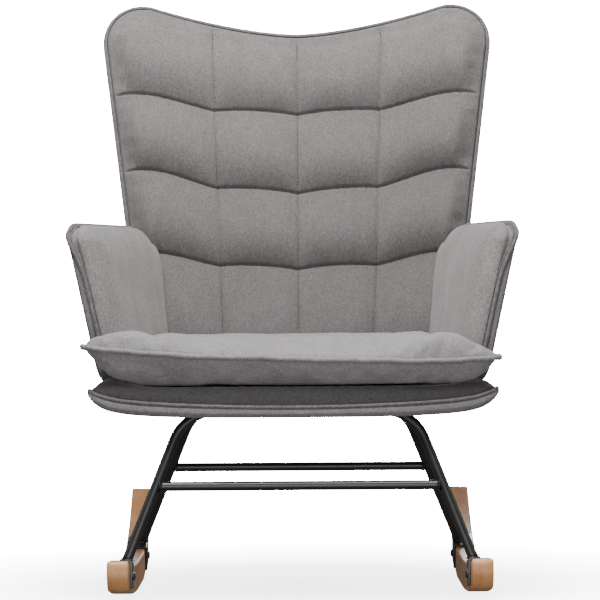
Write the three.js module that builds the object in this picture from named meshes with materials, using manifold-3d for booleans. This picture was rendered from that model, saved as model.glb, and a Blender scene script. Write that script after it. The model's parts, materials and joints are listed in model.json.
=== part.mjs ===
// Upholstered wingback rocking chair. Millimetres, +Z up, the chair faces -Y.
// While the pieces are placed, y is the distance behind the rockers' front ends.
import * as THREE from 'three';
import { mergeVertices } from 'three/addons/utils/BufferGeometryUtils.js';
import Module from 'manifold-3d';

const wasm = await Module();
wasm.setup();

// ---- clearances ----
const TOUCH = 0.3; // gap between pieces that touch
const SOFT_GAP = 3; // gap between an upholstered piece and its neighbour
const LAYER_GAP = 1.5; // gap between curved layers of one upholstered panel
const COVER_INSET = 2; // the outer panels stop this far inside the welts' outline

// ---- rockers ----
const ROCKER_LENGTH = 715;
const ROCKER_WIDTH = 33;
const ROCKER_THICKNESS = 46;
const ROCKER_CENTRE_X = 278.5;
const ROCKER_NOSE = 20; // radius of the rounded ends
const ROCKER_EDGE = 2; // rounding along the long edges
const SOLE_FLAT_FROM = 320; // the chair stands on this flat stretch, under its weight
const SOLE_FLAT_TO = 460;
const SOLE_FRONT_RISE = 27;
const SOLE_REAR_RISE = 98;
const SOLE_FRONT_POWER = 2; // how sharply each end of the sole curves up
const SOLE_REAR_POWER = 1.6;
const SOLE_STATIONS = 18;
const SOLE_STATION_GAP = 5; // least distance from a station to an end of the flat stretch
const NOSE_STEPS = 4;

// ---- tube base ----
const TUBE_RADIUS = 8;
const TUBE_BORE = 6.5;
const TUBE_SIDES = 12;
const BAR_RADIUS = 7.5;
const LEG_FOOT_X = 268;
const LEG_LEAN = THREE.MathUtils.degToRad(20.5); // inward lean of each leg
const HOOP_BEND = 75;
const HOOP_BEND_STEPS = 7;
const HOOP_TOP_Z = 295.5;
const FRONT_FOOT_Y = 70;
const FRONT_TOP_Y = 140;
const REAR_FOOT_Y = 520;
const REAR_TOP_Y = 410;
const FRONT_BAR_Z = 179;
const REAR_BAR_Z = 189;
const LEG_OVERRUN = 30; // each leg is drawn this much too long, then cut at its foot
const CUTTER_LENGTH = 800; // blocks that trim the tubes
const CUTTER_WIDTH = 200;
const CUTTER_DEPTH = 60;

// ---- rocker brackets ----
const BRACKET_LENGTH = 58;
const BRACKET_PLATE = 3;
const BRACKET_TOP_WIDTH = 30;
const BRACKET_DROP = 38;
const BRACKET_BOLT_DROP = 20; // from the rocker's top to the bolt
const BRACKET_FOLD = 0.4; // the fold's chamfer starts at this share of the plate
const BRACKET_PROBE = 2; // step when the rocker's top is measured under a bracket

// ---- bolts ----
const BOLT_RADIUS = 3;
const BOLT_HEAD_RADIUS = 6.5;
const BOLT_HEAD_HEIGHT = 3.6;
const BOLT_HEAD_FLAT = 0.55; // radius of the head's flat, as a share of the head
const BOLT_HEAD_ROUND = [0.9, 0.55]; // a point on its round, as shares of radius and height
const BOLT_SIDES = 8;
const BOLT_PLAY = 0.4;
const ROCKER_BOLT_LENGTH = 24;
const SEAT_BOLT_LENGTH = 12;
const ARM_BOLT_LENGTH = 46;
const BACK_BOLT_LENGTH = 12;

// ---- seat base ----
const SEAT_HALF_FRONT = 324;
const SEAT_HALF_REAR = 262;
const SEAT_FRONT_Y = 66;
const SEAT_BOW = 46; // how far the front corners are set back
const SEAT_REAR_Y = 464;
const SEAT_CORNER = 36;
const SEAT_BOTTOM_Z = 286;
const SEAT_SEAM_Z = 302;
const SEAT_TOP_Z = 333;
const SEAT_BOTTOM_LIFT = 30; // rise of the underside at the sides
const SEAT_SEAM_LIFT = 26;
const SEAT_TOP_LIFT = 4;
const SEAT_BOTTOM_POWER = 12; // how late each of the three lines rises toward the sides
const SEAT_LINE_POWER = 6;
const SEAT_GRID = [10, 8, 1];
const BAND_DEPTH = 34;
const RAIL_WIDTH = 30;
const RAIL_PLATE = 4;
const RAIL_X = 120;
const RAIL_OVERHANG = 10;
const DUST_COVER = 1.2;
const BOARD_PLATE = 12;
const BOARD_INSET = 16;
const SEAT_BOLT_INSET = 60; // from each hoop's top bar to the nearest bolt

// ---- loose seat cushion ----
const CUSHION_HALF_FRONT = 319;
const CUSHION_FRONT_Y = 62;
const CUSHION_BOW = 44;
const CUSHION_EAR_END_Y = 126; // the wide front part ends here, before the arms
const CUSHION_SHOULDER = 32;
const CUSHION_REAR_Y = 432;
const CUSHION_CORNER = 40;
const CUSHION_SEAM_Z = 378;
const CUSHION_SEAM_LIFT = 10;
const CUSHION_SEAM_POWER = 4;
const CUSHION_CROWN = 36;
const CUSHION_CROWN_POWER = 6; // how flat the crown is before it falls to the seam
const CUSHION_GRID = [10, 12, 1];

// ---- arms ----
const ARM_BOTTOM_Z = 338;
const ARM_TOP_Z = 588;
const ARM_FRONT_Y = 176;
const ARM_REAR_Y = 444;
const ARM_THICKNESS = 52;
const ARM_FRONT_X = 277; // centre of the thickness at the bottom
const ARM_REAR_X = 230;
const ARM_FRONT_FLARE = 0.215; // outward lean per height
const ARM_REAR_FLARE = 0.146;
const ARM_FRONT_CORNER = 26;
const ARM_REAR_CORNER = 62;
const ARM_FOOT_CORNER = 6;
const ARM_LEAST_CORNER = 4;
const ARM_PAD_ROUND = 14; // how much thinner the pad is at its rim
const ARM_SHELL_ROUND = 5;
const ARM_ROUND_POWER = 8;
const ARM_GRID = [8, 8, 1];
const ARM_BOARD_GRID = [6, 6, 1];
const ARM_PAD_SHARE = 38; // thickness of the inner pad at its edge
const ARM_BOARD_PLATE = 12;
const ARM_BOARD_INSET = 24;
const ARM_BOARD_DEPTH = 22; // from the inner face to the board
const ARM_WELT_FROM = 0.44; // shares of the arm's outline: from its rear top corner
const ARM_WELT_TO = 0.99; // down to the foot of its front edge
const ARM_BOLT_SPAN = 70; // each arm bolt from the middle of the arm

// ---- back ----
const BACK_BOTTOM_Z = 338;
const BACK_DIP_Z = 929; // top edge at the middle
const BACK_WING_RISE = 49;
const BACK_WING_PEAK = 0.78; // share of the half width where the top edge peaks
const BACK_HALF_ARM = 291; // half width at the arms' top
const BACK_HALF_TOP = 331;
const BACK_WIDE_Z = 905;
const BACK_CORNER = 68;
const BACK_FOOT_CORNER = 30;
const BACK_FOOT_Y = 455; // front seam line at the bottom edge
const BACK_RECLINE = THREE.MathUtils.degToRad(15);
const BACK_WING_POWER = 1.6;
const BACK_LEAST_CORNER = 8;
const BACK_WING_FORWARD = 46;
const BACK_PAD_EDGE = 12;
const BACK_PAD_BULGE = 20;
const BACK_BULGE_POWER = [6, 8]; // how flat the bulge is, across and up
const BACK_BOARD_PLATE = 10;
const BACK_BOARD_INSET = 30;
const BACK_THICKNESS = 58;
const BACK_WELT_FROM = 0.26; // shares of the back's outline: up one side,
const BACK_WELT_TO = 0.99; // over the top and down the other

// ---- welts ----
const WELT_RADIUS = 3.2;
const WELT_SIDES = 6;
const WELT_JOIN = 0.004; // share of its length left open where the ends meet
const WELT_START = 0.625; // the closed welts join at the middle of the rear edge
const SEAT_WELT_STEPS = 56;
const CUSHION_WELT_STEPS = 72;
const ARM_WELT_STEPS = 20;
const BACK_WELT_STEPS = 42;

// ---- back brackets ----
const ANGLE_PLATE = 4;
const ANGLE_WIDTH = 40;
const ANGLE_X = 130;
const ANGLE_FOOT = 70;
const ANGLE_HEIGHT = 110;
const ANGLE_STANDOFF = 2.5; // room for the curve of the back board
const ANGLE_BOLT_UP = 0.7; // places of its bolts, as shares of its height and its foot
const ANGLE_BOLT_ALONG = 0.6;

const BLACK = new THREE.Color(0x17181a);
const FABRIC = new THREE.Color(0x8d8786);
const FABRIC_DARK = new THREE.Color(0x6f6a6a);
const BEECH = new THREE.Color(0xc08a5c);
const PLYWOOD = new THREE.Color(0xc9aa7c);
const ZINC = new THREE.Color(0x9a9c9e);

const lerp = THREE.MathUtils.lerp;
const group = new THREE.Group();
const chair = new THREE.Group();
group.add(chair);

// ---------- materials and meshes ----------

function steelBlack() {
  return new THREE.MeshStandardMaterial({ color: BLACK, roughness: 0.4, metalness: 0.8 });
}

function zinc() {
  return new THREE.MeshStandardMaterial({ color: ZINC, roughness: 0.45, metalness: 0.9 });
}

function cloth(color) {
  return new THREE.MeshStandardMaterial({ color, roughness: 0.95, metalness: 0 });
}

function timber(color) {
  return new THREE.MeshStandardMaterial({ color, roughness: 0.55, metalness: 0 });
}

function addPiece(name, geometry, material, parent = chair) {
  const mesh = new THREE.Mesh(geometry, material);
  mesh.name = name;
  parent.add(mesh);
  return mesh;
}

// ---------- closed meshes ----------

function signedVolume(geometry) {
  const spots = geometry.attributes.position;
  const index = geometry.index;
  const a = new THREE.Vector3();
  const b = new THREE.Vector3();
  const c = new THREE.Vector3();
  let volume = 0;
  for (let i = 0; i < index.count; i += 3) {
    a.fromBufferAttribute(spots, index.getX(i));
    b.fromBufferAttribute(spots, index.getX(i + 1));
    c.fromBufferAttribute(spots, index.getX(i + 2));
    volume += a.dot(b.cross(c)) / 6;
  }
  return volume;
}

// Turns an outline drawn in y and z, extruded, so that its depth runs along x.
function outlineToSide() {
  return new THREE.Matrix4().makeBasis(
    new THREE.Vector3(0, 1, 0),
    new THREE.Vector3(0, 0, 1),
    new THREE.Vector3(1, 0, 0),
  );
}

// Keeps only positions, merges shared corners and turns the faces outward.
function closed(geometry) {
  geometry.deleteAttribute('normal');
  geometry.deleteAttribute('uv');
  const merged = mergeVertices(geometry, 1e-4);
  if (signedVolume(merged) < 0) {
    const index = merged.index;
    for (let i = 0; i < index.count; i += 3) {
      const first = index.getX(i);
      index.setX(i, index.getX(i + 1));
      index.setX(i + 1, first);
    }
  }
  merged.computeVertexNormals();
  return merged;
}

function toSolid(geometry) {
  const source = closed(geometry.clone());
  const mesh = new wasm.Mesh({
    numProp: 3,
    vertProperties: new Float32Array(source.attributes.position.array),
    triVerts: new Uint32Array(source.index.array),
  });
  return new wasm.Manifold(mesh);
}

function fromSolid(solid) {
  const mesh = solid.getMesh();
  const geometry = new THREE.BufferGeometry();
  geometry.setAttribute('position', new THREE.BufferAttribute(mesh.vertProperties, 3));
  geometry.setIndex(new THREE.BufferAttribute(mesh.triVerts, 1));
  return closed(geometry);
}

function cut(geometry, ...cutters) {
  let solid = toSolid(geometry);
  for (const cutter of cutters) {
    solid = solid.subtract(toSolid(cutter));
  }
  return fromSolid(solid);
}

function join(...geometries) {
  let solid = toSolid(geometries[0]);
  for (const geometry of geometries.slice(1)) {
    solid = solid.add(toSolid(geometry));
  }
  return fromSolid(solid);
}

// A box of segments whose points, each from -1 to 1, are put where place() says.
function shapedBox([segU, segV, segW], place) {
  const geometry = new THREE.BoxGeometry(2, 2, 2, segU, segV, segW);
  const spots = geometry.attributes.position;
  for (let i = 0; i < spots.count; i += 1) {
    const spot = place(spots.getX(i), spots.getY(i), spots.getZ(i));
    spots.setXYZ(i, spot.x, spot.y, spot.z);
  }
  return closed(geometry);
}

// Crowds a -1..1 value toward the ends, so that corners get more points.
function crowd(value) {
  return Math.sin((value * Math.PI) / 2);
}

// Rounds the corners of the square u, v; ru and rv are the radii in u and v.
function roundCorner(u, v, ru, rv) {
  const a = (Math.abs(u) - 1 + ru) / ru;
  const b = (Math.abs(v) - 1 + rv) / rv;
  if (a <= 0 || b <= 0) {
    return [u, v];
  }
  const scale = Math.max(a, b) / Math.hypot(a, b);
  return [Math.sign(u) * (1 - ru + ru * a * scale), Math.sign(v) * (1 - rv + rv * b * scale)];
}

// The edge of the square from -1 to 1, at a share 0..1 of its length: bottom, right, top, left.
function squareEdge(share) {
  const step = (share * 4) % 4;
  const along = (step % 1) * 2 - 1;
  const side = Math.floor(step);
  return [[along, -1], [1, along], [-along, 1], [-1, -along]][side];
}

// A round cord along a curve, ended just short of a full turn.
function cord(path, radius, steps, sides = WELT_SIDES) {
  const section = new THREE.Shape();
  section.absarc(0, 0, radius, 0, Math.PI * 2);
  return closed(new THREE.ExtrudeGeometry(section, {
    steps,
    curveSegments: sides / 2,
    extrudePath: path,
  }));
}

// Piping round an outline: point(share) gives its centre line, from 0 to 1.
function weltGeometry(point, steps, open = false) {
  const first = open ? 0 : WELT_JOIN;
  const last = open ? 1 : 1 - WELT_JOIN;
  const points = [];
  for (let i = 0; i <= steps; i += 1) {
    points.push(point(lerp(first, last, i / steps)));
  }
  return cord(new THREE.CatmullRomCurve3(points), WELT_RADIUS, steps);
}

// ---------- bolts ----------

// Button-head bolt, its shank along +Z from z = 0 and its head below.
function boltGeometry(length, play = 0) {
  const radius = BOLT_RADIUS + play;
  const head = BOLT_HEAD_RADIUS + play;
  const profile = [
    new THREE.Vector2(0, -BOLT_HEAD_HEIGHT - play),
    new THREE.Vector2(head * BOLT_HEAD_FLAT, -BOLT_HEAD_HEIGHT - play),
    new THREE.Vector2(head * BOLT_HEAD_ROUND[0], -BOLT_HEAD_HEIGHT * BOLT_HEAD_ROUND[1] - play),
    new THREE.Vector2(head, -play),
    new THREE.Vector2(head, play),
    new THREE.Vector2(radius, play),
    new THREE.Vector2(radius, length + play),
    new THREE.Vector2(0, length + play),
  ];
  const distinct = play > 0 ? profile : profile.filter((_, i) => i !== 4);
  const geometry = new THREE.LatheGeometry(distinct, BOLT_SIDES);
  geometry.rotateX(Math.PI / 2);
  return closed(geometry);
}

const bolts = [];

// Adds a bolt whose shank starts at `from` and runs along `direction`.
function addBolt(name, length, from, direction) {
  const turn = new THREE.Quaternion().setFromUnitVectors(
    new THREE.Vector3(0, 0, 1),
    direction.clone().normalize(),
  );
  const mesh = addPiece(name, boltGeometry(length), steelBlack());
  mesh.position.copy(from);
  mesh.quaternion.copy(turn);
  const clearance = boltGeometry(length, BOLT_PLAY);
  clearance.applyQuaternion(turn);
  clearance.translate(from.x, from.y, from.z);
  bolts.push({ name, clearance });
  return mesh;
}

function clearancesOf(start) {
  return bolts.filter((bolt) => bolt.name.startsWith(start)).map((bolt) => bolt.clearance);
}

// ---------- rockers ----------

function soleZ(y) {
  if (y < SOLE_FLAT_FROM) {
    return SOLE_FRONT_RISE * ((SOLE_FLAT_FROM - y) / SOLE_FLAT_FROM) ** SOLE_FRONT_POWER;
  }
  if (y <= SOLE_FLAT_TO) {
    return 0;
  }
  const share = (y - SOLE_FLAT_TO) / (ROCKER_LENGTH - SOLE_FLAT_TO);
  return SOLE_REAR_RISE * share ** SOLE_REAR_POWER;
}

function soleSlope(y) {
  return Math.atan2(soleZ(y + 1) - soleZ(y - 1), 2);
}

// Side outline of a rocker, drawn with y to the right and z up.
function rockerOutline() {
  const shape = new THREE.Shape();
  const inner = ROCKER_LENGTH - 2 * ROCKER_NOSE;
  const at = (i) => ROCKER_NOSE + (inner * i) / SOLE_STATIONS;
  const flats = [SOLE_FLAT_FROM, SOLE_FLAT_TO];
  const curved = (y) => y < SOLE_FLAT_FROM - SOLE_STATION_GAP || y > SOLE_FLAT_TO + SOLE_STATION_GAP;
  const lower = [...Array.from({ length: SOLE_STATIONS + 1 }, (_, i) => at(i)).filter(curved), ...flats]
    .sort((a, b) => a - b);
  shape.moveTo(lower[0], soleZ(lower[0]));
  for (const y of lower.slice(1)) {
    shape.lineTo(y, soleZ(y));
  }
  roundEnd(shape, ROCKER_LENGTH, 1);
  for (let i = SOLE_STATIONS - 1; i >= 0; i -= 1) {
    shape.lineTo(at(i), soleZ(at(i)) + ROCKER_THICKNESS);
  }
  roundEnd(shape, 0, -1);
  return shape;
}

// Rounds one end of the rocker: way is 1 at the rear end and -1 at the front.
function roundEnd(shape, endY, way) {
  const innerY = endY - way * ROCKER_NOSE;
  const base = soleZ(innerY);
  const tip = soleZ(endY);
  const lean = tip - base;
  const corner = (share, low) => {
    const angle = (share * Math.PI) / 2;
    const out = low ? Math.sin(angle) : Math.cos(angle);
    const drop = low ? 1 - Math.cos(angle) : Math.sin(angle) - 1;
    const y = innerY + way * ROCKER_NOSE * out;
    const level = base + lean * out;
    return [y, level + drop * ROCKER_NOSE + (low ? 0 : ROCKER_THICKNESS)];
  };
  const lowSide = Array.from({ length: NOSE_STEPS }, (_, i) => corner((i + 1) / NOSE_STEPS, true));
  const highSide = Array.from({ length: NOSE_STEPS + 1 }, (_, i) => corner(i / NOSE_STEPS, false));
  const run = [...lowSide, ...highSide];
  if (way < 0) {
    run.reverse();
  }
  for (const [y, z] of run) {
    shape.lineTo(y, z);
  }
}

function rockerGeometry(side) {
  const geometry = new THREE.ExtrudeGeometry(rockerOutline(), {
    depth: ROCKER_WIDTH - 2 * ROCKER_EDGE,
    bevelEnabled: true,
    bevelThickness: ROCKER_EDGE,
    bevelSize: ROCKER_EDGE,
    bevelOffset: -ROCKER_EDGE,
    bevelSegments: 1,
    steps: 1,
  });
  geometry.applyMatrix4(outlineToSide());
  geometry.translate(side * ROCKER_CENTRE_X - ROCKER_WIDTH / 2 + ROCKER_EDGE, 0, 0);
  return closed(geometry);
}

// ---------- brackets on the rockers ----------

// Folded plate in its own frame: the origin is on the rocker's top inner edge,
// x toward the rocker's outside, y along the rocker, z up.
function bracketGeometry(side) {
  const fold = new THREE.Shape();
  const lap = TOUCH;
  fold.moveTo(-lap - BRACKET_PLATE, -BRACKET_DROP);
  fold.lineTo(-lap, -BRACKET_DROP);
  fold.lineTo(-lap, lap);
  fold.lineTo(BRACKET_TOP_WIDTH, lap);
  fold.lineTo(BRACKET_TOP_WIDTH, lap + BRACKET_PLATE);
  fold.lineTo(-lap - BRACKET_PLATE * BRACKET_FOLD, lap + BRACKET_PLATE);
  fold.lineTo(-lap - BRACKET_PLATE, lap + BRACKET_PLATE * BRACKET_FOLD);
  fold.closePath();
  const geometry = new THREE.ExtrudeGeometry(fold, { depth: BRACKET_LENGTH, bevelEnabled: false });
  geometry.rotateX(Math.PI / 2);
  geometry.translate(0, BRACKET_LENGTH / 2, 0);
  geometry.scale(side, 1, 1);
  return closed(geometry);
}

// Highest point of the rocker's top under a bracket, and its slope there.
function bracketSeat(y) {
  const reach = BRACKET_LENGTH / 2;
  const slope = soleSlope(y);
  let lift = -Infinity;
  for (let along = -reach; along <= reach; along += BRACKET_PROBE) {
    const top = soleZ(y + along * Math.cos(slope)) + ROCKER_THICKNESS;
    lift = Math.max(lift, top - along * Math.sin(slope));
  }
  return { slope, z: lift + TOUCH };
}

function addBracket(name, side, y) {
  const seat = bracketSeat(y);
  const innerX = side * (ROCKER_CENTRE_X - ROCKER_WIDTH / 2);
  const bracket = addPiece(`rocker_bracket_${name}`, bracketGeometry(side), steelBlack());
  bracket.position.set(innerX, y, seat.z);
  bracket.rotation.x = seat.slope;
  const boltX = innerX - side * (TOUCH * 2 + BRACKET_PLATE);
  const from = new THREE.Vector3(boltX, y + BRACKET_BOLT_DROP * Math.sin(seat.slope),
    seat.z - BRACKET_BOLT_DROP);
  addBolt(`rocker_bolt_${name}`, ROCKER_BOLT_LENGTH, from, new THREE.Vector3(side, 0, 0));
  return bracket;
}

// ---------- hoops and crossbars ----------

// Centre line of a hoop in its own plane, from the left foot to the right foot.
function hoopSpots(height) {
  const turn = Math.PI / 2 - LEG_LEAN;
  const bendStartZ = height - HOOP_BEND * (1 - Math.cos(turn));
  const bendStartX = LEG_FOOT_X - bendStartZ * Math.tan(LEG_LEAN);
  const centreX = bendStartX - HOOP_BEND * Math.sin(turn);
  const centreZ = height - HOOP_BEND;
  const bendPoints = (side) => Array.from({ length: HOOP_BEND_STEPS + 1 }, (_, i) => {
    const angle = turn * (1 - i / HOOP_BEND_STEPS);
    const x = centreX + HOOP_BEND * Math.sin(angle);
    return new THREE.Vector3(side * x, 0, centreZ + HOOP_BEND * Math.cos(angle));
  });
  return [
    new THREE.Vector3(-LEG_FOOT_X, 0, 0),
    ...bendPoints(-1),
    ...bendPoints(1).reverse(),
    new THREE.Vector3(LEG_FOOT_X, 0, 0),
  ];
}

// A tube whose rings stand at each of the spots, in the plane y = 0.
function bentTube(spots, radius) {
  const last = spots.length - 1;
  return shapedTube(spots.map((spot, i) => {
    const before = spots[Math.max(i - 1, 0)];
    const after = spots[Math.min(i + 1, last)];
    const tangent = after.clone().sub(before).normalize();
    return { spot, tangent };
  }), radius);
}

// Rings of a round section, joined from one end to the other.
function shapedTube(rings, radius) {
  const count = rings.length - 1;
  const geometry = new THREE.CylinderGeometry(radius, radius, count, TUBE_SIDES, count);
  const spots = geometry.attributes.position;
  const across = new THREE.Vector3(0, 1, 0);
  for (let i = 0; i < spots.count; i += 1) {
    const ring = rings[Math.round(spots.getY(i) + count / 2)];
    const outward = new THREE.Vector3().crossVectors(across, ring.tangent).normalize();
    const place = ring.spot.clone()
      .addScaledVector(outward, spots.getX(i))
      .addScaledVector(across, spots.getZ(i));
    spots.setXYZ(i, place.x, place.y, place.z);
  }
  return closed(geometry);
}

function hoopFrame(footY, topY) {
  const seat = bracketSeat(footY);
  const footZ = seat.z + (BRACKET_PLATE + 2 * TOUCH) / Math.cos(seat.slope);
  const rise = HOOP_TOP_Z - footZ;
  const run = topY - footY;
  return { footZ, height: Math.hypot(rise, run), tilt: Math.atan2(-run, rise) };
}

// A hoop of hollow tube; its feet are cut to stand flat on the brackets.
function addHoop(name, footY, topY) {
  const frame = hoopFrame(footY, topY);
  const spots = hoopSpots(frame.height);
  const grow = (spot, other) => spot.clone().add(spot.clone().sub(other).setLength(LEG_OVERRUN));
  spots[0] = grow(spots[0], spots[1]);
  spots[spots.length - 1] = grow(spots[spots.length - 1], spots[spots.length - 2]);
  const outside = bentTube(spots, TUBE_RADIUS);
  const inside = bentTube(spots, TUBE_BORE);
  const seat = bracketSeat(footY);
  const ground = new THREE.BoxGeometry(CUTTER_LENGTH, CUTTER_WIDTH, CUTTER_DEPTH);
  ground.translate(0, 0, -CUTTER_DEPTH / 2);
  ground.rotateX(seat.slope - frame.tilt);
  const mesh = addPiece(name, cut(outside, inside, ground), steelBlack());
  mesh.position.set(0, footY, frame.footZ);
  mesh.rotation.x = frame.tilt;
  return mesh;
}

// A straight tube between the two legs of a hoop, its ends shaped to the legs.
function addCrossbar(name, footY, topY, barZ) {
  const frame = hoopFrame(footY, topY);
  const spots = hoopSpots(frame.height);
  const level = ((barZ - frame.footZ) * frame.height) / (HOOP_TOP_Z - frame.footZ);
  const bar = new THREE.CylinderGeometry(BAR_RADIUS, BAR_RADIUS, 2 * LEG_FOOT_X, TUBE_SIDES);
  bar.rotateZ(Math.PI / 2);
  bar.translate(0, 0, level);
  const hoop = bentTube(spots, TUBE_RADIUS + TOUCH);
  const beyond = [-1, 1].map((side) => {
    const legX = LEG_FOOT_X - level * Math.tan(LEG_LEAN);
    const block = new THREE.BoxGeometry(CUTTER_WIDTH, CUTTER_DEPTH, CUTTER_DEPTH);
    block.translate(CUTTER_WIDTH / 2, 0, 0);
    block.rotateY(-LEG_LEAN);
    block.scale(side, 1, 1);
    block.translate(side * legX, 0, level);
    return block;
  });
  const mesh = addPiece(name, cut(bar, hoop, ...beyond), steelBlack());
  mesh.position.set(0, footY, frame.footZ);
  mesh.rotation.x = frame.tilt;
  return mesh;
}

function addRail(name, x) {
  const length = REAR_TOP_Y - FRONT_TOP_Y + 2 * RAIL_OVERHANG;
  const rail = new THREE.BoxGeometry(RAIL_WIDTH, length, RAIL_PLATE);
  const z = HOOP_TOP_Z + TUBE_RADIUS + TOUCH + RAIL_PLATE / 2;
  const midY = (FRONT_TOP_Y + REAR_TOP_Y) / 2;
  rail.translate(x, midY, z);
  addPiece(name, cut(rail, ...clearancesOf('seat_bolt')), steelBlack());
}

// ---------- seat base ----------

const RAIL_TOP_Z = HOOP_TOP_Z + TUBE_RADIUS + TOUCH + RAIL_PLATE;
const BOARD_Z = RAIL_TOP_Z + DUST_COVER + 2 * TOUCH;

function seatHalf(y) {
  return lerp(SEAT_HALF_FRONT, SEAT_HALF_REAR, (y - SEAT_FRONT_Y) / (SEAT_REAR_Y - SEAT_FRONT_Y));
}

// Plan position on the seat base, set in from its outline by `inset`.
function seatPlan(u, v, inset) {
  const depth = SEAT_REAR_Y - SEAT_FRONT_Y;
  const [a, b] = roundCorner(crowd(u), crowd(v), SEAT_CORNER / SEAT_HALF_FRONT, (2 * SEAT_CORNER) / depth);
  const front = SEAT_FRONT_Y + SEAT_BOW * a * a + inset;
  const y = lerp(front, SEAT_REAR_Y - inset, (b + 1) / 2);
  return { x: a * (seatHalf(y) - inset), y };
}

function seatLift(x, amount, power) {
  return amount * Math.min(Math.abs(x) / SEAT_HALF_FRONT, 1) ** power;
}

const seamZ = (x) => SEAT_SEAM_Z + seatLift(x, SEAT_SEAM_LIFT, SEAT_LINE_POWER);
const undersideZ = (x) => SEAT_BOTTOM_Z + seatLift(x, SEAT_BOTTOM_LIFT, SEAT_BOTTOM_POWER);
const deckTopZ = (x) => SEAT_TOP_Z + seatLift(x, SEAT_TOP_LIFT, SEAT_LINE_POWER);

// A layer of the seat base between two heights, which may depend on x.
function seatLayer(inset, lowZ, highZ) {
  return shapedBox(SEAT_GRID, (u, v, w) => {
    const { x, y } = seatPlan(u, v, inset);
    return { x, y, z: w < 0 ? lowZ(x) : highZ(x) };
  });
}

function boardSpace(play) {
  return seatLayer(BOARD_INSET - play, () => BOARD_Z - BOARD_PLATE - play,
    () => BOARD_Z + BOARD_PLATE + play);
}

function addSeatBase() {
  const boltHoles = [...clearancesOf('seat_bolt'), ...clearancesOf('arm_bolt')];
  const board = seatLayer(BOARD_INSET, () => BOARD_Z, () => BOARD_Z + BOARD_PLATE);
  addPiece('seat_board', cut(board, ...boltHoles, ...clearancesOf('back_bolt')), timber(PLYWOOD));

  const deck = seatLayer(0, (x) => seamZ(x) + TOUCH, deckTopZ);
  const fittings = [...clearancesOf('arm_bolt'), ...clearancesOf('back_bolt'), ...angleSpaces()];
  addPiece('seat_deck', cut(deck, boardSpace(TOUCH), ...fittings), cloth(FABRIC_DARK));

  const ring = seatLayer(0, undersideZ, (x) => seamZ(x) - TOUCH);
  const hole = seatLayer(BAND_DEPTH, () => 0, () => 2 * SEAT_TOP_Z);
  addPiece('seat_band', cut(ring, hole, boardSpace(TOUCH)), cloth(FABRIC));

  const coverInset = BAND_DEPTH + SOFT_GAP;
  const coverZ = RAIL_TOP_Z + TOUCH;
  const cover = seatLayer(coverInset, () => coverZ, () => coverZ + DUST_COVER);
  addPiece('dust_cover', cut(cover, ...boltHoles), cloth(BLACK));

  const welt = weltGeometry((share) => {
    const [u, v] = squareEdge(share + WELT_START);
    const { x, y } = seatPlan(u, v, -WELT_RADIUS - SOFT_GAP);
    return new THREE.Vector3(x, y, seamZ(x));
  }, SEAT_WELT_STEPS);
  addPiece('seat_welt', welt, cloth(FABRIC));
}

// ---------- loose cushion ----------

function cushionHalf(y) {
  const gap = 2 * SOFT_GAP + LAYER_GAP + 2 * WELT_RADIUS;
  const share = (y - ARM_FRONT_Y) / (ARM_REAR_Y - ARM_FRONT_Y);
  const between = lerp(ARM_FRONT_X, ARM_REAR_X, share) - ARM_THICKNESS / 2 - gap;
  const shoulder = THREE.MathUtils.smoothstep(y, CUSHION_EAR_END_Y, CUSHION_EAR_END_Y + CUSHION_SHOULDER);
  return lerp(CUSHION_HALF_FRONT, between, shoulder);
}

// Spreads the rows so that one starts and one ends the cushion's shoulders.
function cushionRow(v) {
  const depth = CUSHION_REAR_Y - CUSHION_FRONT_Y;
  const earEnd = (2 * (CUSHION_EAR_END_Y - CUSHION_FRONT_Y)) / depth - 1;
  const shoulderEnd = earEnd + (2 * CUSHION_SHOULDER) / depth;
  if (v < -0.5) {
    return lerp(-1, earEnd, 2 * (v + 1));
  }
  if (v < 0) {
    return lerp(earEnd, shoulderEnd, 2 * (v + 0.5));
  }
  return lerp(shoulderEnd, 1, crowd(v));
}

function cushionPlan(u, v, outset) {
  const depth = CUSHION_REAR_Y - CUSHION_FRONT_Y;
  const corner = CUSHION_CORNER / CUSHION_HALF_FRONT;
  const [a, b] = roundCorner(crowd(u), cushionRow(v), corner, (2 * CUSHION_CORNER) / depth);
  const straight = lerp(CUSHION_FRONT_Y, CUSHION_REAR_Y, (b + 1) / 2);
  const half = cushionHalf(straight - outset) + outset;
  const bowEnd = (2 * (CUSHION_EAR_END_Y - CUSHION_FRONT_Y)) / depth;
  const bow = CUSHION_BOW * a * a * Math.max(0, 1 - (b + 1) / bowEnd);
  return { a, b, x: a * half, y: straight + bow + outset * b };
}

const cushionSeamZ = (x) => CUSHION_SEAM_Z
  + CUSHION_SEAM_LIFT * (Math.abs(x) / CUSHION_HALF_FRONT) ** CUSHION_SEAM_POWER;

function addCushion() {
  const body = shapedBox(CUSHION_GRID, (u, v, w) => {
    const { a, b, x, y } = cushionPlan(u, v, 0);
    const crown = CUSHION_CROWN * (1 - a ** CUSHION_CROWN_POWER) * (1 - b ** CUSHION_CROWN_POWER);
    return { x, y, z: w < 0 ? deckTopZ(x) + SOFT_GAP / 2 : cushionSeamZ(x) + crown };
  });
  addPiece('seat_cushion', body, cloth(FABRIC));
  const welt = weltGeometry((share) => {
    const [u, v] = squareEdge(share + WELT_START);
    const { x, y } = cushionPlan(u, v, WELT_RADIUS + SOFT_GAP + LAYER_GAP);
    return new THREE.Vector3(x, y, cushionSeamZ(x) - WELT_RADIUS);
  }, CUSHION_WELT_STEPS);
  addPiece('cushion_welt', welt, cloth(FABRIC));
}

// ---------- arms ----------

const ARM_MID_Y = (ARM_FRONT_Y + ARM_REAR_Y) / 2;

// The rear edge leans back with the back's front surface.
function armRearY(z) {
  return ARM_REAR_Y + (z - ARM_BOTTOM_Z) * Math.tan(BACK_RECLINE);
}

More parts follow.
